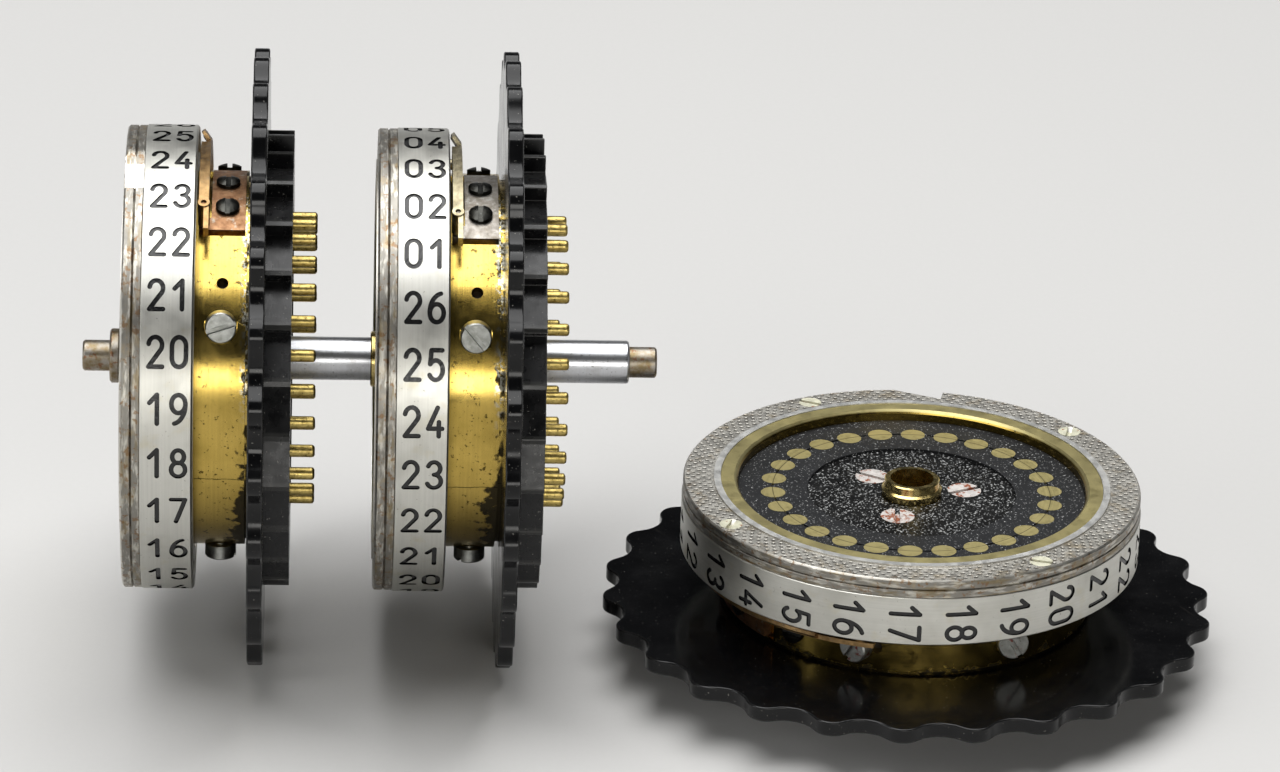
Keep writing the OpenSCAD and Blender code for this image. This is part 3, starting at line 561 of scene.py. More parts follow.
@finish
def knurled_steel():
    # Steel plate with a knurled face and a bright turned lip, spotted with rust at its outer edge
    begun = _, tree, skin, place = begin("knurled_steel", Metallic=1.0)
    base = colour("knurled_steel")
    lines, radius = turning(tree, place, 0.3)
    x, y, height = add(tree, "SeparateXYZ", {0: place}).outputs
    angle = add(tree, "Math", {0: y, 1: x}, operation="ARCTAN2").outputs[0]
    top = between(tree, height, FACE_Z - 0.04, FACE_Z + 0.1, 0.03)
    knurled = overlap(tree, top, between(tree, radius, LIP_R + 0.15, BAND_R - 0.5, 0.1))
    # Knurl of 0.7 mm, drawn at 0.85 mm so that it shows
    waves = []
    for sign in (1, -1):
        slant = add(tree, "Math", {0: radius, 1: sign * math.pi / KNURL}, operation="MULTIPLY").outputs[0]
        phase = add(tree, "Math", {0: angle, 1: KNURLS_ROUND, 2: slant}, operation="MULTIPLY_ADD")
        waves.append(add(tree, "Math", {0: phase.outputs[0]}, operation="SINE").outputs[0])
    egg = add(tree, "Math", {0: waves[0], 1: waves[1]}, operation="ADD").outputs[0]
    low = add(tree, "MapRange", {"Value": egg, "From Min": -0.4, "From Max": -1.4}).outputs[0]
    # The knurl's valleys are painted darker: painted shade in the hollows of the knurl
    shaded_knurl_valleys = overlap(tree, low, knurled)
    # The rim of the plate is darker steel, with bright rubbed lines and brown rust along it
    side = overlap(tree, between(tree, height, 0, FACE_Z - 0.2, 0.1),
                   between(tree, radius, BAND_R - 1, BAND_R + 1, 0.1))
    along = add(tree, "VectorMath", {0: place, 1: (1, 1, 5)}, operation="MULTIPLY").outputs[0]
    rusty = add(tree, "MapRange", {"Value": radius, "From Min": LIP_R + 1.5, "From Max": BAND_R}).outputs[0]
    # Cream paint is dabbed over the four screws
    paint = overlap(tree, top, splashes(tree, place, RING_SCREW_R, RING_SCREWS_AT, 2.4))
    tone = coats(
        tree, shade(base, 0.8), (lines, shade(base, 1.1)),
        (patches(tree, place, 6, 0.45, 0.7), hue("#a29f95"), 0.45),
        (side, hue("#5f5b54"), 0.72),
        (overlap(tree, side, patches(tree, along, 3.5, 0.5, 0.62, seed=5)), hue("#cfccc2"), 0.75),
        (overlap(tree, side, patches(tree, along, 6, 0.54, 0.64, seed=12)), hue("#7d6c46"), 0.6),
        (patches(tree, place, 2.4, 0.54, 0.68, seed=5), hue("#a9956e"), 0.45),
        (overlap(tree, rusty, patches(tree, place, 1.0, 0.56, 0.62, seed=8)), hue("#7c5a34"), 0.7),
        # Painted shade in the knurl's valleys
        (shaded_knurl_valleys, hue("#48443b"), 0.7),
        (between(tree, radius, 20, LIP_R - 0.05, 0.05), hue("#dededb"), 0.85),
        (paint, hue("#d8d6be"), 0.9))
    bare = add(tree, "MapRange", {"Value": paint, "To Min": 1.0, "To Max": 0.0}).outputs[0]
    tree.links.new(bare, skin.inputs["Metallic"])
    dents = add(tree, "Math", {0: shaded_knurl_valleys, 1: -1.0}, operation="MULTIPLY").outputs[0]
    gloss = (patches(tree, place, 2, 0.3, 0.7, seed=2), 0.34, 0.54)
    return clad(begun, tone, gloss, (lines, 0.005), (dents, 0.1))


@finish
def drum_brass():
    # Cast brass turned on a lathe: yellow sheen with lines round it, dark pits, a black stain by the thumbwheel
    # and painted shade beside the ring
    begun = _, tree, _, place = begin("turned_drum_brass", Metallic=1.0)
    base = colour("drum_brass")
    lines, _ = turning(tree, place, 0.3)
    x, y, height = add(tree, "SeparateXYZ", {0: place}).outputs
    angle = add(tree, "Math", {0: y, 1: x}, operation="ARCTAN2").outputs[0]
    bare_wall = between(tree, height, -1, BAND_Z - 0.1, 0.1)

    def sector(low, high):
        return between(tree, angle, math.radians(low), math.radians(high), 0.12)

    # Black patina with a ragged edge creeps up from the thumbwheel, most of all low at the front
    ragged = patches(tree, place, 3.2, 0.0, 1.0, detail=5, seed=6)
    near_wheel = {"Value": height, "From Min": 4.6, "From Max": 0.0, "To Min": -0.22, "To Max": 0.2}
    low_front = {"Value": sector(-75, -22), "To Min": -0.12, "To Max": 0.08}
    for spread in (near_wheel, low_front):
        nearer = add(tree, "MapRange", spread).outputs[0]
        ragged = add(tree, "Math", {0: ragged, 1: nearer}, operation="ADD").outputs[0]
    patina = add(tree, "MapRange", {"Value": ragged, "From Min": 0.53, "From Max": 0.58}).outputs[0]
    patina = overlap(tree, patina, bare_wall)
    # White residue sits in the corner beside the thumbwheel
    residue = overlap(tree, between(tree, height, 0.1, 1.3, 0.3), sector(5, 80),
                      patches(tree, place, 0.8, 0.5, 0.56, seed=14))
    # The wall is painted darker beside the ring, as painted shade in the corner where it meets the ring, and the
    # flat rim is matt and pale
    ring_corner_shade = add(tree, "MapRange", {"Value": height, "From Min": 7.2, "From Max": 8.8}).outputs[0]
    rim = between(tree, height, RIM_Z - 0.35, RIM_Z + 1, 0.1)
    # The drum's two halves meet in a hair line along it
    joint = math.radians(JOINT_AT)
    across, ahead = (
        add(tree, "VectorMath", {0: place, 1: way}, operation="DOT_PRODUCT").outputs["Value"]
        for way in ((math.sin(joint), -math.cos(joint), 0), (math.cos(joint), math.sin(joint), 0)))
    wobble = add(tree, "Math", {
        0: patches(tree, place, 4, 0.3, 0.7, seed=1), 1: 0.5, 2: across,
    }, operation="MULTIPLY_ADD").outputs[0]
    seam = overlap(tree, between(tree, wobble, 0.2, 0.34, 0.04), between(tree, ahead, 29, 31, 0.2), bare_wall)
    tone = coats(
        tree, shade(base, 0.74), (lines, shade(base, 1.12)),
        (patches(tree, place, 8, 0.45, 0.7), hue("#8a7430"), 0.55),
        # Painted shade on the wall in the corner by the ring
        (ring_corner_shade, hue("#5f4c1c"), 0.5),
        (patches(tree, place, 1.0, 0.62, 0.67, seed=9), hue("#3a2e16"), 0.85),
        (patches(tree, place, 0.5, 0.64, 0.68, seed=13), hue("#2a2113"), 0.8),
        (patina, hue("#2b2923"), 0.93),
        (residue, hue("#b9b8ac"), 0.8),
        (rim, colour("rim_brass"), 0.9),
        (overlap(tree, rim, patches(tree, place, 2.2, 0.52, 0.7, seed=3)), hue("#8c8050"), 0.5),
        (seam, hue("#171208"), 0.9))
    mottle = patches(tree, place, 4, 0.35, 0.7, seed=2)
    gloss = add(tree, "MapRange", {"Value": mottle, "To Min": 0.15, "To Max": 0.27}).outputs[0]
    for dull, amount in ((rim, 0.22), (patina, 0.3)):
        gloss = add(tree, "Math", {0: dull, 1: amount, 2: gloss}, operation="MULTIPLY_ADD").outputs[0]
    return clad(begun, tone, gloss, (lines, 0.006), (patina, -0.02))


@finish
def bright_brass():
    # Turned brass, polished by use: pale and shiny, with brown tarnish in places
    begun = _, tree, _, place = begin("bright_brass", Metallic=1.0)
    lines, _ = turning(tree, place, 0.25)
    tone = coats(
        tree, colour("bright_brass"), (patches(tree, place, 0.9, 0.45, 0.7), hue("#a58c4a"), 0.6),
        (patches(tree, place, 0.5, 0.62, 0.7, seed=5), hue("#4f4020"), 0.7))
    return clad(begun, tone, (patches(tree, place, 1.2, 0.3, 0.7, seed=2), 0.16, 0.32), (lines, 0.006))


@finish
def pin_brass():
    # Drawn brass rod, dulled by handling: olive yellow, soft shine, small spots of brown grime
    begun = _, tree, _, place = begin("pin_brass", Metallic=1.0)
    tone = coats(
        tree, colour("pin_brass"), (patches(tree, place, 0.8, 0.4, 0.62), hue("#82703c"), 0.7),
        (patches(tree, place, 0.45, 0.58, 0.66, seed=5), hue("#453a1c"), 0.8))
    gloss = (patches(tree, place, 0.7, 0.3, 0.7, seed=2), 0.27, 0.45)
    return clad(begun, tone, gloss, (patches(tree, place, 0.5, 0.3, 0.7, seed=3), 0.02))


@finish
def contact_brass():
    # Flat brass contacts, rubbed matt by the pins: pale olive, fine scratches, a dark groove through them
    begun = _, tree, _, place = begin("contact_brass", Metallic=1.0)
    lines, radius = turning(tree, place, 0.22)
    groove = between(tree, radius, CIRCLE_R - 0.08, CIRCLE_R + 0.08, 0.05)
    tone = coats(
        tree, hue("#a99d6a"), (lines, hue("#c9bd88")),
        (patches(tree, place, 1.3, 0.5, 0.72), hue("#857a4c"), 0.5),
        (groove, hue("#2a2718"), 0.7))
    return clad(begun, tone, (lines, 0.4, 0.6), (lines, 0.006))


def dusty_phenolic(name, base, clean, gloss):
    """Phenolic with fine turned lines and white dust on it. The higher clean is, the less dust."""
    begun = _, tree, _, place = begin(name, IOR=1.5, Specular_IOR_Level=0.3)
    lines, _ = turning(tree, place, 0.3)
    # Dust of 0.1 mm, drawn at 0.3 mm so that it shows
    dust = patches(tree, place, 0.34, clean, clean + 0.05, detail=1.0, seed=5)
    tone = coats(
        tree, base, (patches(tree, place, 5, 0.4, 0.7), shade(base, 1.5), 0.6),
        (dust, hue("#b9bab9"), 0.85),
        (patches(tree, place, 0.8, clean + 0.03, clean + 0.08, seed=7), hue("#8b8c8c"), 0.7))
    mottle = patches(tree, place, 3, 0.3, 0.7, seed=2)
    return clad(begun, tone, (mottle, gloss, gloss + 0.16), (lines, 0.004))


@finish
def disc_phenolic():
    # Phenolic board, machined flat: nearly black, dull, dusty
    return dusty_phenolic("disc_phenolic", colour("disc_grey"), 0.64, 0.4)


@finish
def cover_phenolic():
    # Moulded phenolic, blacker and a little glossier, with more dust
    return dusty_phenolic("cover_phenolic", hue("#050505"), 0.6, 0.26)


@finish
def carrier_phenolic():
    # Brown phenolic, turned: dull and plain
    return dusty_phenolic("carrier_phenolic", hue("#221c18"), 0.72, 0.4)


@finish
def wheel_ebonite():
    # Hard rubber, polished: deep black gloss with hazy patches, fine scratches, dust and rubbed edges
    begun = _, tree, _, place = begin("wheel_ebonite", IOR=1.5, Specular_IOR_Level=0.26)
    lines, _ = turning(tree, place, 0.5)
    across = add(tree, "VectorMath", {0: place, 1: (0.12, 2.4, 1.0)}, operation="MULTIPLY").outputs[0]
    edge = add(tree, "Attribute", attribute_name="edge").outputs["Fac"]
    tone = coats(
        tree, colour("wheel_black"), (patches(tree, place, 9, 0.45, 0.75), hue("#131314"), 0.8),
        (patches(tree, across, 1.4, 0.67, 0.72, seed=2), hue("#33312d"), 0.6),
        (patches(tree, place, 0.4, 0.705, 0.74, detail=1.0, seed=5), hue("#77756f"), 0.7),
        (edge, hue("#1d1d1d"), 0.6))
    waves = patches(tree, place, 14, 0.2, 0.8, detail=1.0, seed=3)
    gloss = (patches(tree, place, 7, 0.35, 0.75, seed=8), 0.1, 0.26)
    return clad(begun, tone, gloss, (waves, 0.05), (lines, 0.002))


@finish
def ratchet_black():
    # Blackened ratchet wheel: satin black, scratched across, its lands rubbed grey and its edges pale
    begun = _, tree, _, place = begin("ratchet_black", IOR=1.5, Specular_IOR_Level=0.3)
    _, radius = turning(tree, place, 0.4)
    across = add(tree, "VectorMath", {0: place, 1: (0.5, 0.5, 3.0)}, operation="MULTIPLY").outputs[0]
    edge = add(tree, "Attribute", attribute_name="edge").outputs["Fac"]
    tone = coats(
        tree, hue("#0c0c0d"), (patches(tree, place, 4, 0.45, 0.7), hue("#1b1b1c"), 0.8),
        (patches(tree, across, 1.0, 0.66, 0.72, seed=2), hue("#5c5a55"), 0.5),
        (patches(tree, place, 0.5, 0.7, 0.74, detail=1.0, seed=5), hue("#84827c"), 0.6),
        (between(tree, radius, LAND_R, BAND_R + 0.5, 0.06), hue("#343432"), 0.5),
        (edge, hue("#4f4e4c"), 0.5))
    gloss = (patches(tree, place, 3, 0.35, 0.7, seed=8), 0.2, 0.4)
    return clad(begun, tone, gloss, (patches(tree, across, 1.2, 0.3, 0.8, seed=4), 0.012))


@finish
def spindle_steel():
    # Ground steel rod, bright, with its turned ends and collar tarnished brown and yellow
    begun = _, tree, _, place = begin("ground_spindle_steel", Metallic=1.0)
    base = colour("spindle_steel")
    lines, _ = turning(tree, place, 0.3)
    height = add(tree, "SeparateXYZ", {0: place}).outputs[2]
    left, right = (
        add(tree, "MapRange", {"Value": height, "From Min": start, "From Max": end}).outputs[0]
        for start, end in ((LEFT_END_Z, LEFT_END_Z + 0.2), (RIGHT_END_Z, RIGHT_END_Z - 0.2)))
    ends = add(tree, "Math", {0: left, 1: right}, operation="MAXIMUM").outputs[0]
    aged = coats(
        tree, hue("#9a948a"), (patches(tree, place, 1.6, 0.38, 0.62, seed=4), hue("#7b6a48")),
        (patches(tree, place, 0.9, 0.56, 0.64, seed=6), hue("#7a4a22"), 0.8))
    tone = coats(
        tree, shade(base, 0.85), (lines, shade(base, 1.06)),
        (patches(tree, place, 2.5, 0.55, 0.72), hue("#8f8c86"), 0.5),
        (patches(tree, place, 0.5, 0.6, 0.68, seed=9), hue("#5c5a55"), 0.6),
        (ends, aged, 0.95))
    return clad(begun, tone, (ends, 0.29, 0.42), (lines, 0.008))


def painted_steel(name, base, sound):
    """A screw head dabbed with pale paint, with orange rust breaking through where it isn't sound."""
    begun = _, tree, _, place = begin(name, IOR=1.5)
    flakes = patches(tree, place, 0.8, 0.3, 0.7, seed=2)
    tone = coats(
        tree, base, (patches(tree, place, 1.2, 0.4, 0.62), shade(base, 0.75)),
        (patches(tree, place, 1.0, sound, sound + 0.06, seed=5), hue("#8f4414"), 0.95),
        (patches(tree, place, 0.4, 0.64, 0.7, seed=8), hue("#5b544a"), 0.7))
    return clad(begun, tone, (flakes, 0.38, 0.62), (flakes, 0.03))


@finish
def cover_screw_paint():
    # Steel screw with worn white paint and orange rust
    return painted_steel("cover_screw_paint", hue("#d6d0cb"), 0.53)


@finish
def ring_screw_paint():
    # Steel screw under cracked cream paint
    return painted_steel("ring_screw_paint", hue("#d8d6be"), 0.62)


def worn_metal(name, light, dark, blotch, clean, gloss, share=0.55):
    """Cut steel or bronze, blotched by age where it isn't clean, with paler edges."""
    light, dark, blotch = hue(light), hue(dark), hue(blotch)
    begun = _, tree, _, place = begin(name, Metallic=1.0)
    edge = add(tree, "Attribute", attribute_name="edge").outputs["Fac"]
    tone = coats(
        tree, light, (patches(tree, place, 1.6, 0.35, 0.65), dark),
        (patches(tree, place, 1.1, clean, clean + 0.12, seed=5), blotch, share),
        (patches(tree, place, 0.45, 0.66, 0.72, seed=8), shade(dark, 0.3), 0.7),
        (edge, shade(light, 1.25), 0.5))
    mottle = patches(tree, place, 0.9, 0.3, 0.7, seed=2)
    cut = patches(tree, place, 0.5, 0.3, 0.75, seed=3)
    return clad(begun, tone, (mottle, gloss, gloss + 0.2), (cut, 0.015))


@finish
def drum_screw_steel():
    # Turned steel screw, dull pale grey
    return worn_metal("drum_screw_steel", "#a9aaa6", "#84857f", "#c9c9bf", 0.6, 0.28)


@finish
def red_marked_steel():
    # The same screw, with worn red paint left on it
    return worn_metal("red_marked_steel", "#a9aaa6", "#84857f", "#7a1a0a", 0.54, 0.34, 0.9)


@finish
def bracket_screw_steel():
    # Blued steel, nearly black, soft shine
    return worn_metal("blued_screw_steel", "#4a4a46", "#2c2c2a", "#8f938f", 0.66, 0.26)


@finish
def bracket_bronze():
    # Copper-red bronze with brown pits and white residue
    return worn_metal("bracket_bronze", "#a98362", "#7d5a40", "#b9bdb4", 0.58, 0.34)


@finish
def bracket_steel():
    # Grey steel with dark pits and white residue
    return worn_metal("bracket_steel", "#a5a099", "#7d766c", "#cfcfc8", 0.55, 0.34)


@finish
def lever_bronze():
    # Spring bronze leaf, dulled brown
    return worn_metal("lever_bronze", "#ab8c60", "#7d6342", "#6f6a5e", 0.58, 0.3)


@finish
def lever_steel():
    # Spring leaf, greyish beige metal
    return worn_metal("lever_steel", "#b3aa8e", "#857c64", "#77746a", 0.58, 0.3)


@finish
def spring_steel():
    # Bright spring wire
    return worn_metal("spring_wire", "#b9babb", "#95969a", "#7c7c7c", 0.66, 0.22)


@finish
def wire_copper():
    # Bare copper wire and plugs
    return worn_metal("wire_copper", "#b87a4e", "#8c5630", "#5a4a3a", 0.62, 0.3)


@finish
def pale_floor():
    # Matt paper sweep: plain, pale and even
    material, tree, skin, _ = begin("pale_floor", Roughness=0.75, Specular_IOR_Level=0.2)
    base = tuple(bpy.context.scene.rotor_stage.floor_colour) + (1.0,)
    where = add(tree, "TexCoord").outputs["Object"]
    grain = add(tree, "TexNoise", {"Vector": where, "Scale": 900.0, "Detail": 3.0}).outputs[0]
    tree.links.new(coats(tree, shade(base, 0.985), (grain, shade(base, 1.015))), skin.inputs["Base Color"])
    return material


# ---------------------------------------------------------------- operators


class RotorOperator:
    """What every operator of this set shares."""

    bl_options = {"REGISTER"}

    def execute(self, context):
        self.make(context, context.scene.rotor_sizes)
        return {"FINISHED"}


class ROTORS_OT_spindle(RotorOperator, bpy.types.Operator):
    """Dress the spindle"""

    bl_idname = "rotors.spindle"
    bl_label = "Spindle"

    def make(self, context, sizes):
        dress("spindle", axis_of("left"), sizes.turned_edge, spindle_steel())


class ROTORS_OT_thumbwheels(RotorOperator, bpy.types.Operator):
    """Dress the black thumbwheels with their lobes"""

    bl_idname = "rotors.thumbwheels"
    bl_label = "Thumbwheels"

    def make(self, context, sizes):
        dress_each("thumbwheel", core_frame, sizes.wheel_edge, wheel_ebonite, angle=50, segments=3)


class ROTORS_OT_ratchets(RotorOperator, bpy.types.Operator):
    """Dress the ratchet wheels with their saw teeth"""

    bl_idname = "rotors.ratchets"
    bl_label = "Ratchet Wheels"

    def make(self, context, sizes):
        dress_each("ratchet_wheel", core_frame, sizes.small_edge * 1.5, ratchet_black, angle=25)


class ROTORS_OT_carriers(RotorOperator, bpy.types.Operator):
    """Dress the blocks that hold the spring pins"""

    bl_idname = "rotors.carriers"
    bl_label = "Pin Carriers"

    def make(self, context, sizes):
        dress_each("pin_carrier", core_frame, 0, carrier_phenolic)


class ROTORS_OT_pins(RotorOperator, bpy.types.Operator):
    """Dress the spring pins"""

    bl_idname = "rotors.pins"
    bl_label = "Spring Pins"

    def make(self, context, sizes):
        dress_each("spring_pins", core_frame, 0, pin_brass, angle=50)


class ROTORS_OT_springs(RotorOperator, bpy.types.Operator):
    """Wind the coil spring behind every pin"""

    bl_idname = "rotors.springs"
    bl_label = "Pin Springs"

    def make(self, context, sizes):
        wire = sizes.spring_wire / MM / 2
        per_turn, sides = 14, 6
        low, high = SPRING_FROM_Z + wire + 0.02, SPRING_TO_Z - wire - 0.02
        count = sizes.spring_turns * per_turn
        points, faces = [], []
        for i in range(26):
            at = math.radians((i + 0.5) * STEP)
            start = len(points)
            for k in range(count + 1):
                share = k / count
                # The end turns lie flat, as a closed coil's do
                rise = min(max((share * sizes.spring_turns - 0.8) / (sizes.spring_turns - 1.6), 0), 1)
                turn = 2 * math.pi * share * sizes.spring_turns
                level = low + (high - low) * rise
                centre = Vector((CIRCLE_R * math.cos(at), CIRCLE_R * math.sin(at), level))
                out = Vector((math.cos(turn), math.sin(turn), 0))
                for s in range(sides):
                    a = 2 * math.pi * s / sides
                    lift = Vector((0, 0, wire * math.sin(a)))
                    points.append(centre + out * (COIL_R + wire * math.cos(a)) + lift)
            for k in range(count):
                for s in range(sides):
                    a, b = start + k * sides + s, start + k * sides + (s + 1) % sides
                    faces.append((a, b, b + sides, a + sides))
            faces.append([start + s for s in range(sides)][::-1])
            faces.append([start + count * sides + s for s in range(sides)])
        for rotor in ROTORS:
            place = core_frame(rotor)
            mesh = bpy.data.meshes.new(f"{rotor}_pin_coils")
            mesh.from_pydata([place @ p * MM for p in points], [], faces)
            mesh.shade_smooth()
            mark_place(mesh, place)
            node = f"{rotor}_pin_springs"
            steel = [spring_steel()]
            coils = put(f"{rotor}_pin_coils", mesh, [node], body_with(node), steel)
            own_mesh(coils)


class ROTORS_OT_wiring(RotorOperator, bpy.types.Operator):
    """Dress the wires inside the drums"""

    bl_idname = "rotors.wiring"
    bl_label = "Wiring"

    def make(self, context, sizes):
        dress_each("wiring", core_frame, 0, wire_copper)


class ROTORS_OT_drums(RotorOperator, bpy.types.Operator):
    """Dress the brass drums"""

    bl_idname = "rotors.drums"
    bl_label = "Drums"

    def make(self, context, sizes):
        dress_each("drum", core_frame, sizes.turned_edge, drum_brass)


class ROTORS_OT_contact_discs(RotorOperator, bpy.types.Operator):
    """Dress the dark discs that carry the contacts"""

    bl_idname = "rotors.contact_discs"
    bl_label = "Contact Discs"

    def make(self, context, sizes):
        dress_each("contact_disc", core_frame, 0, disc_phenolic)


class ROTORS_OT_contacts(RotorOperator, bpy.types.Operator):
    """Dress the flat contacts"""

    bl_idname = "rotors.contacts"
    bl_label = "Contact Plates"

    def make(self, context, sizes):
        dress_each("contact_plates", core_frame, 0, contact_brass)


class ROTORS_OT_covers(RotorOperator, bpy.types.Operator):
    """Dress the black covers in the middle of the contact faces"""

    bl_idname = "rotors.covers"
    bl_label = "Centre Covers"

    def make(self, context, sizes):
        dress_each("centre_cover", core_frame, sizes.small_edge, cover_phenolic)


class ROTORS_OT_cover_screws(RotorOperator, bpy.types.Operator):
    """Dress the screws of the centre covers"""

    bl_idname = "rotors.cover_screws"
    bl_label = "Cover Screws"

    def make(self, context, sizes):
        dress_each("cover_screws", core_frame, sizes.small_edge, cover_screw_paint)


class ROTORS_OT_hubs(RotorOperator, bpy.types.Operator):
    """Dress the brass bushes that run on the spindle"""

    bl_idname = "rotors.hubs"
    bl_label = "Hub Bushes"

    def make(self, context, sizes):
        dress_each("hub_bush", core_frame, 0, bright_brass)


class ROTORS_OT_number_rings(RotorOperator, bpy.types.Operator):
    """Dress the number rings and engrave 01 to 26 in them"""

    bl_idname = "rotors.number_rings"
    bl_label = "Number Rings"

    def make(self, context, sizes):
        points, faces, kinds, normals = engraved_band(sizes)

        def keep(face, place):
            middle = place.inverted() @ (face.calc_center_median() / MM)
            flat = abs((place.to_3x3().inverted() @ face.normal).z) < 0.1
            return not (flat and math.hypot(middle.x, middle.y) > BAND_R - 0.08)

        for rotor in ROTORS:
            place = ring_frame(rotor)
            node = f"{rotor}_number_ring"
            dress(node, place, 0, nickel_silver(), keep=keep, angle=30)
            mesh = bpy.data.meshes.new(f"{rotor}_numbers")
            mesh.from_pydata([place @ Vector(p) * MM for p in points], [], faces)
            mesh.shade_smooth()
            turn = np.array(place.to_3x3())
            mesh.normals_split_custom_set((np.array(normals) @ turn.T).tolist())
            mark_place(mesh, place)
            finishes = [nickel_silver(), numeral_lacquer()]
            put(f"{rotor}_numbers", mesh, [], body_with(node), finishes)
            mesh.polygons.foreach_set("material_index", kinds)


class ROTORS_OT_notch_rings(RotorOperator, bpy.types.Operator):
    """Dress the plates with the carry notch and the knurled face"""

    bl_idname = "rotors.notch_rings"
    bl_label = "Notch Rings"

    def make(self, context, sizes):
        dress_each("notch_ring", ring_frame, 0, knurled_steel, angle=28)


class ROTORS_OT_ring_screws(RotorOperator, bpy.types.Operator):
    """Dress the screws that hold the rings together"""

    bl_idname = "rotors.ring_screws"
    bl_label = "Ring Screws"

    def make(self, context, sizes):
        dress_each("ring_screws", ring_frame, sizes.small_edge, ring_screw_paint)


class ROTORS_OT_levers(RotorOperator, bpy.types.Operator):
    """Dress the levers that lock the number rings"""

    bl_idname = "rotors.levers"
    bl_label = "Setting Levers"

    def make(self, context, sizes):
        for rotor in ROTORS:
            metal = lever_steel() if rotor == "middle" else lever_bronze()
            dress(f"{rotor}_setting_lever", core_frame(rotor), sizes.small_edge, metal)


class ROTORS_OT_brackets(RotorOperator, bpy.types.Operator):
    """Dress the brackets that hold the levers"""

    bl_idname = "rotors.brackets"
    bl_label = "Lever Brackets"

    def make(self, context, sizes):
        for rotor in ROTORS:
            metal = bracket_steel() if rotor == "middle" else bracket_bronze()
            dress(f"{rotor}_lever_bracket", core_frame(rotor), sizes.small_edge * 1.5, metal)


class ROTORS_OT_bracket_screws(RotorOperator, bpy.types.Operator):
    """Dress the domed screws of the brackets"""

    bl_idname = "rotors.bracket_screws"
    bl_label = "Bracket Screws"

    def make(self, context, sizes):
        dress_each("bracket_screws", core_frame, sizes.small_edge, bracket_screw_steel)


class ROTORS_OT_drum_screws(RotorOperator, bpy.types.Operator):
    """Dress the big slotted screws of the drums"""

    bl_idname = "rotors.drum_screws"
    bl_label = "Drum Screws"

    def make(self, context, sizes):
        for rotor in ROTORS:
            steel = red_marked_steel() if rotor == "loose" else drum_screw_steel()
            dress(f"{rotor}_drum_screws", core_frame(rotor), sizes.small_edge * 1.5, steel)


class ROTORS_OT_stage(bpy.types.Operator):
    """Lay the floor and set the lamps and the camera"""

    bl_idname = "rotors.stage"
    bl_label = "Stage"
    bl_options = {"REGISTER"}

    def execute(self, context):
        scene = context.scene
        stage = scene.rotor_stage
        mesh = bpy.data.meshes.new("floor")
        corners = [(x * FLOOR_REACH, y * FLOOR_REACH, 0) for x, y in ((-1, -1), (1, -1), (1, 1), (-1, 1))]
        mesh.from_pydata(corners, [], [(0, 1, 2, 3)])
        mesh.materials.append(pale_floor())
        floor = bpy.data.objects.new("floor", mesh)
        scene.collection.objects.link(floor)

        world = bpy.data.worlds.new("room")
        world.use_nodes = True
        scene.world = world
        tree = world.node_tree
        back = tree.nodes["Background"]
        # The room is pale near the floor and darker higher up, as round a paper sweep
        way = add(tree, "TexCoord").outputs["Generated"]
        height = add(tree, "SeparateXYZ", {0: way}).outputs[2]
        share = add(tree, "MapRange", {"Value": height, "From Min": 0.1, "From Max": 0.36}).outputs[0]
        tree.links.new(coats(tree, hue("#f0f1f2"), (share, hue("#37393b"))), back.inputs["Color"])
        back.inputs["Strength"].default_value = stage.room_strength

        for name, (place, target, width, length, power, tint) in LAMPS.items():
            data = bpy.data.lights.new(name, "AREA")
            data.shape = "RECTANGLE"
            data.size, data.size_y = width, length
            data.energy = power
            data.color = hue(tint)[:3]
            obj = bpy.data.objects.new(name, data)
            obj.location = place
            obj.rotation_euler = (Vector(target) - Vector(place)).to_track_quat("-Z", "Y").to_euler()
            scene.collection.objects.link(obj)

        camera = bpy.data.cameras.new("camera")
        camera.sensor_width = 36
        camera.lens = stage.lens
        camera.shift_x, camera.shift_y = EYE_SHIFT
        camera.clip_start, camera.clip_end = 0.05, 50
        yaw, pitch, roll = (math.radians(a) for a in (EYE_YAW, EYE_PITCH, EYE_ROLL))
        ahead = Vector((math.sin(yaw) * math.cos(pitch), math.cos(yaw) * math.cos(pitch), -math.sin(pitch)))
        level = Vector((math.cos(yaw), -math.sin(yaw), 0))
        upright = level.cross(ahead)
        right = math.cos(roll) * level + math.sin(roll) * upright
        up = -math.sin(roll) * level + math.cos(roll) * upright
        eye = bpy.data.objects.new("camera", camera)
        turned = Matrix((right, up, -ahead)).transposed().to_4x4()
        eye.matrix_world = Matrix.Translation(EYE_AT) @ turned
        scene.collection.objects.link(eye)
        scene.camera = eye
        scene.view_settings.view_transform = "Standard"
        return {"FINISHED"}


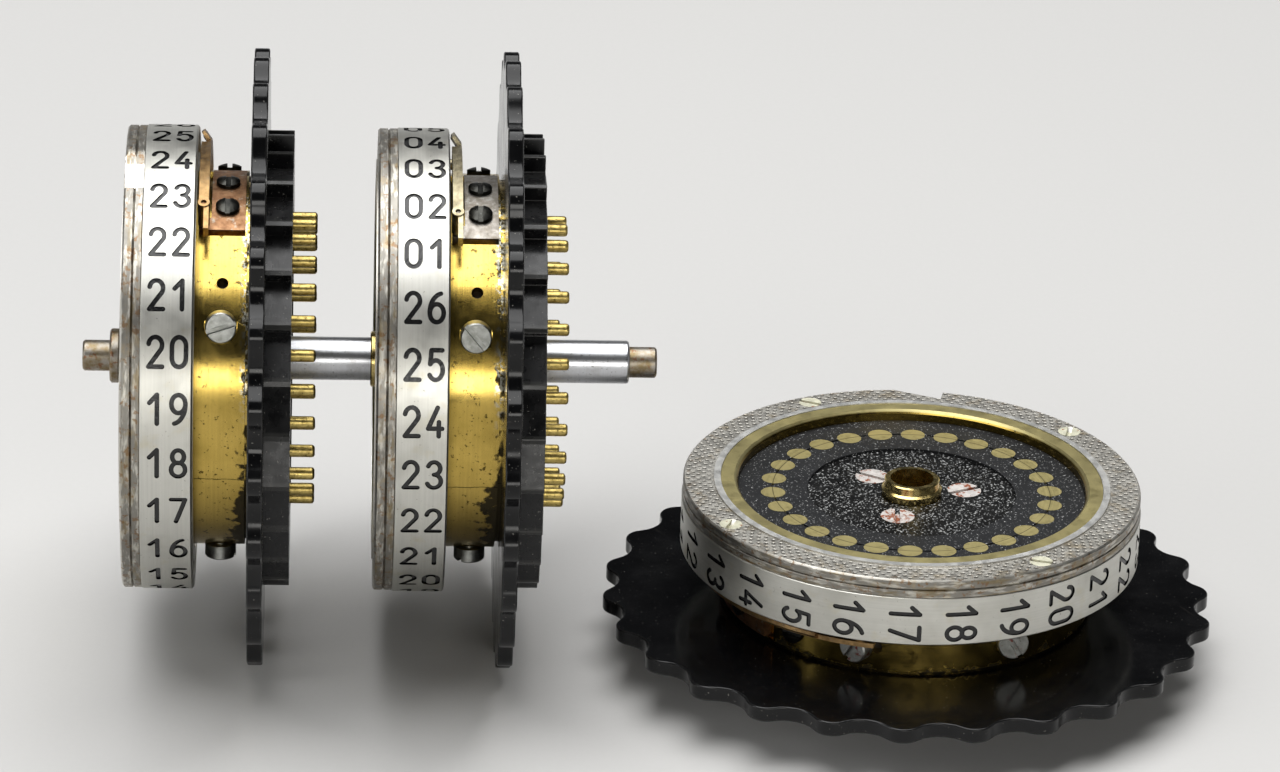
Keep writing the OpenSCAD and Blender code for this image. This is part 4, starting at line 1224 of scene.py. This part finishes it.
class ROTORS_PT_panel(bpy.types.Panel):
    """Buttons for every piece of the set"""

    bl_idname = "ROTORS_PT_panel"
    bl_label = "Numbered Rotor Set"
    bl_space_type = "VIEW_3D"
    bl_region_type = "UI"
    bl_category = "Rotors"

    def draw(self, context):
        for kind in OPERATORS:
            self.layout.operator(kind.bl_idname)
        for group in ("rotor_sizes", "rotor_numbers", "rotor_colours", "rotor_stage"):
            box = self.layout.box()
            values = getattr(context.scene, group)
            for name in values.bl_rna.properties.keys():
                if name not in ("rna_type", "name"):
                    box.prop(values, name)


GROUPS = (RotorSizes, RotorNumbers, RotorColours, RotorStage)
OPERATORS = (
    ROTORS_OT_stage, ROTORS_OT_spindle, ROTORS_OT_thumbwheels, ROTORS_OT_ratchets, ROTORS_OT_carriers,
    ROTORS_OT_pins, ROTORS_OT_springs, ROTORS_OT_wiring, ROTORS_OT_drums, ROTORS_OT_contact_discs,
    ROTORS_OT_contacts, ROTORS_OT_covers, ROTORS_OT_cover_screws, ROTORS_OT_hubs, ROTORS_OT_number_rings,
    ROTORS_OT_notch_rings, ROTORS_OT_ring_screws, ROTORS_OT_levers, ROTORS_OT_brackets,
    ROTORS_OT_bracket_screws, ROTORS_OT_drum_screws,
)


def register():
    for kind in GROUPS + OPERATORS + (ROTORS_PT_panel,):
        bpy.utils.register_class(kind)
    bpy.types.Scene.rotor_sizes = bpy.props.PointerProperty(type=RotorSizes)
    bpy.types.Scene.rotor_numbers = bpy.props.PointerProperty(type=RotorNumbers)
    bpy.types.Scene.rotor_colours = bpy.props.PointerProperty(type=RotorColours)
    bpy.types.Scene.rotor_stage = bpy.props.PointerProperty(type=RotorStage)


def unregister():
    for name in ("rotor_sizes", "rotor_numbers", "rotor_colours", "rotor_stage"):
        delattr(bpy.types.Scene, name)
    for kind in reversed(GROUPS + OPERATORS + (ROTORS_PT_panel,)):
        bpy.utils.unregister_class(kind)


def main():
    register()
    for kind in OPERATORS:
        group, name = kind.bl_idname.split(".")
        getattr(getattr(bpy.ops, group), name)()
    bpy.context.view_layer.update()


if __name__ == "__main__":
    main()
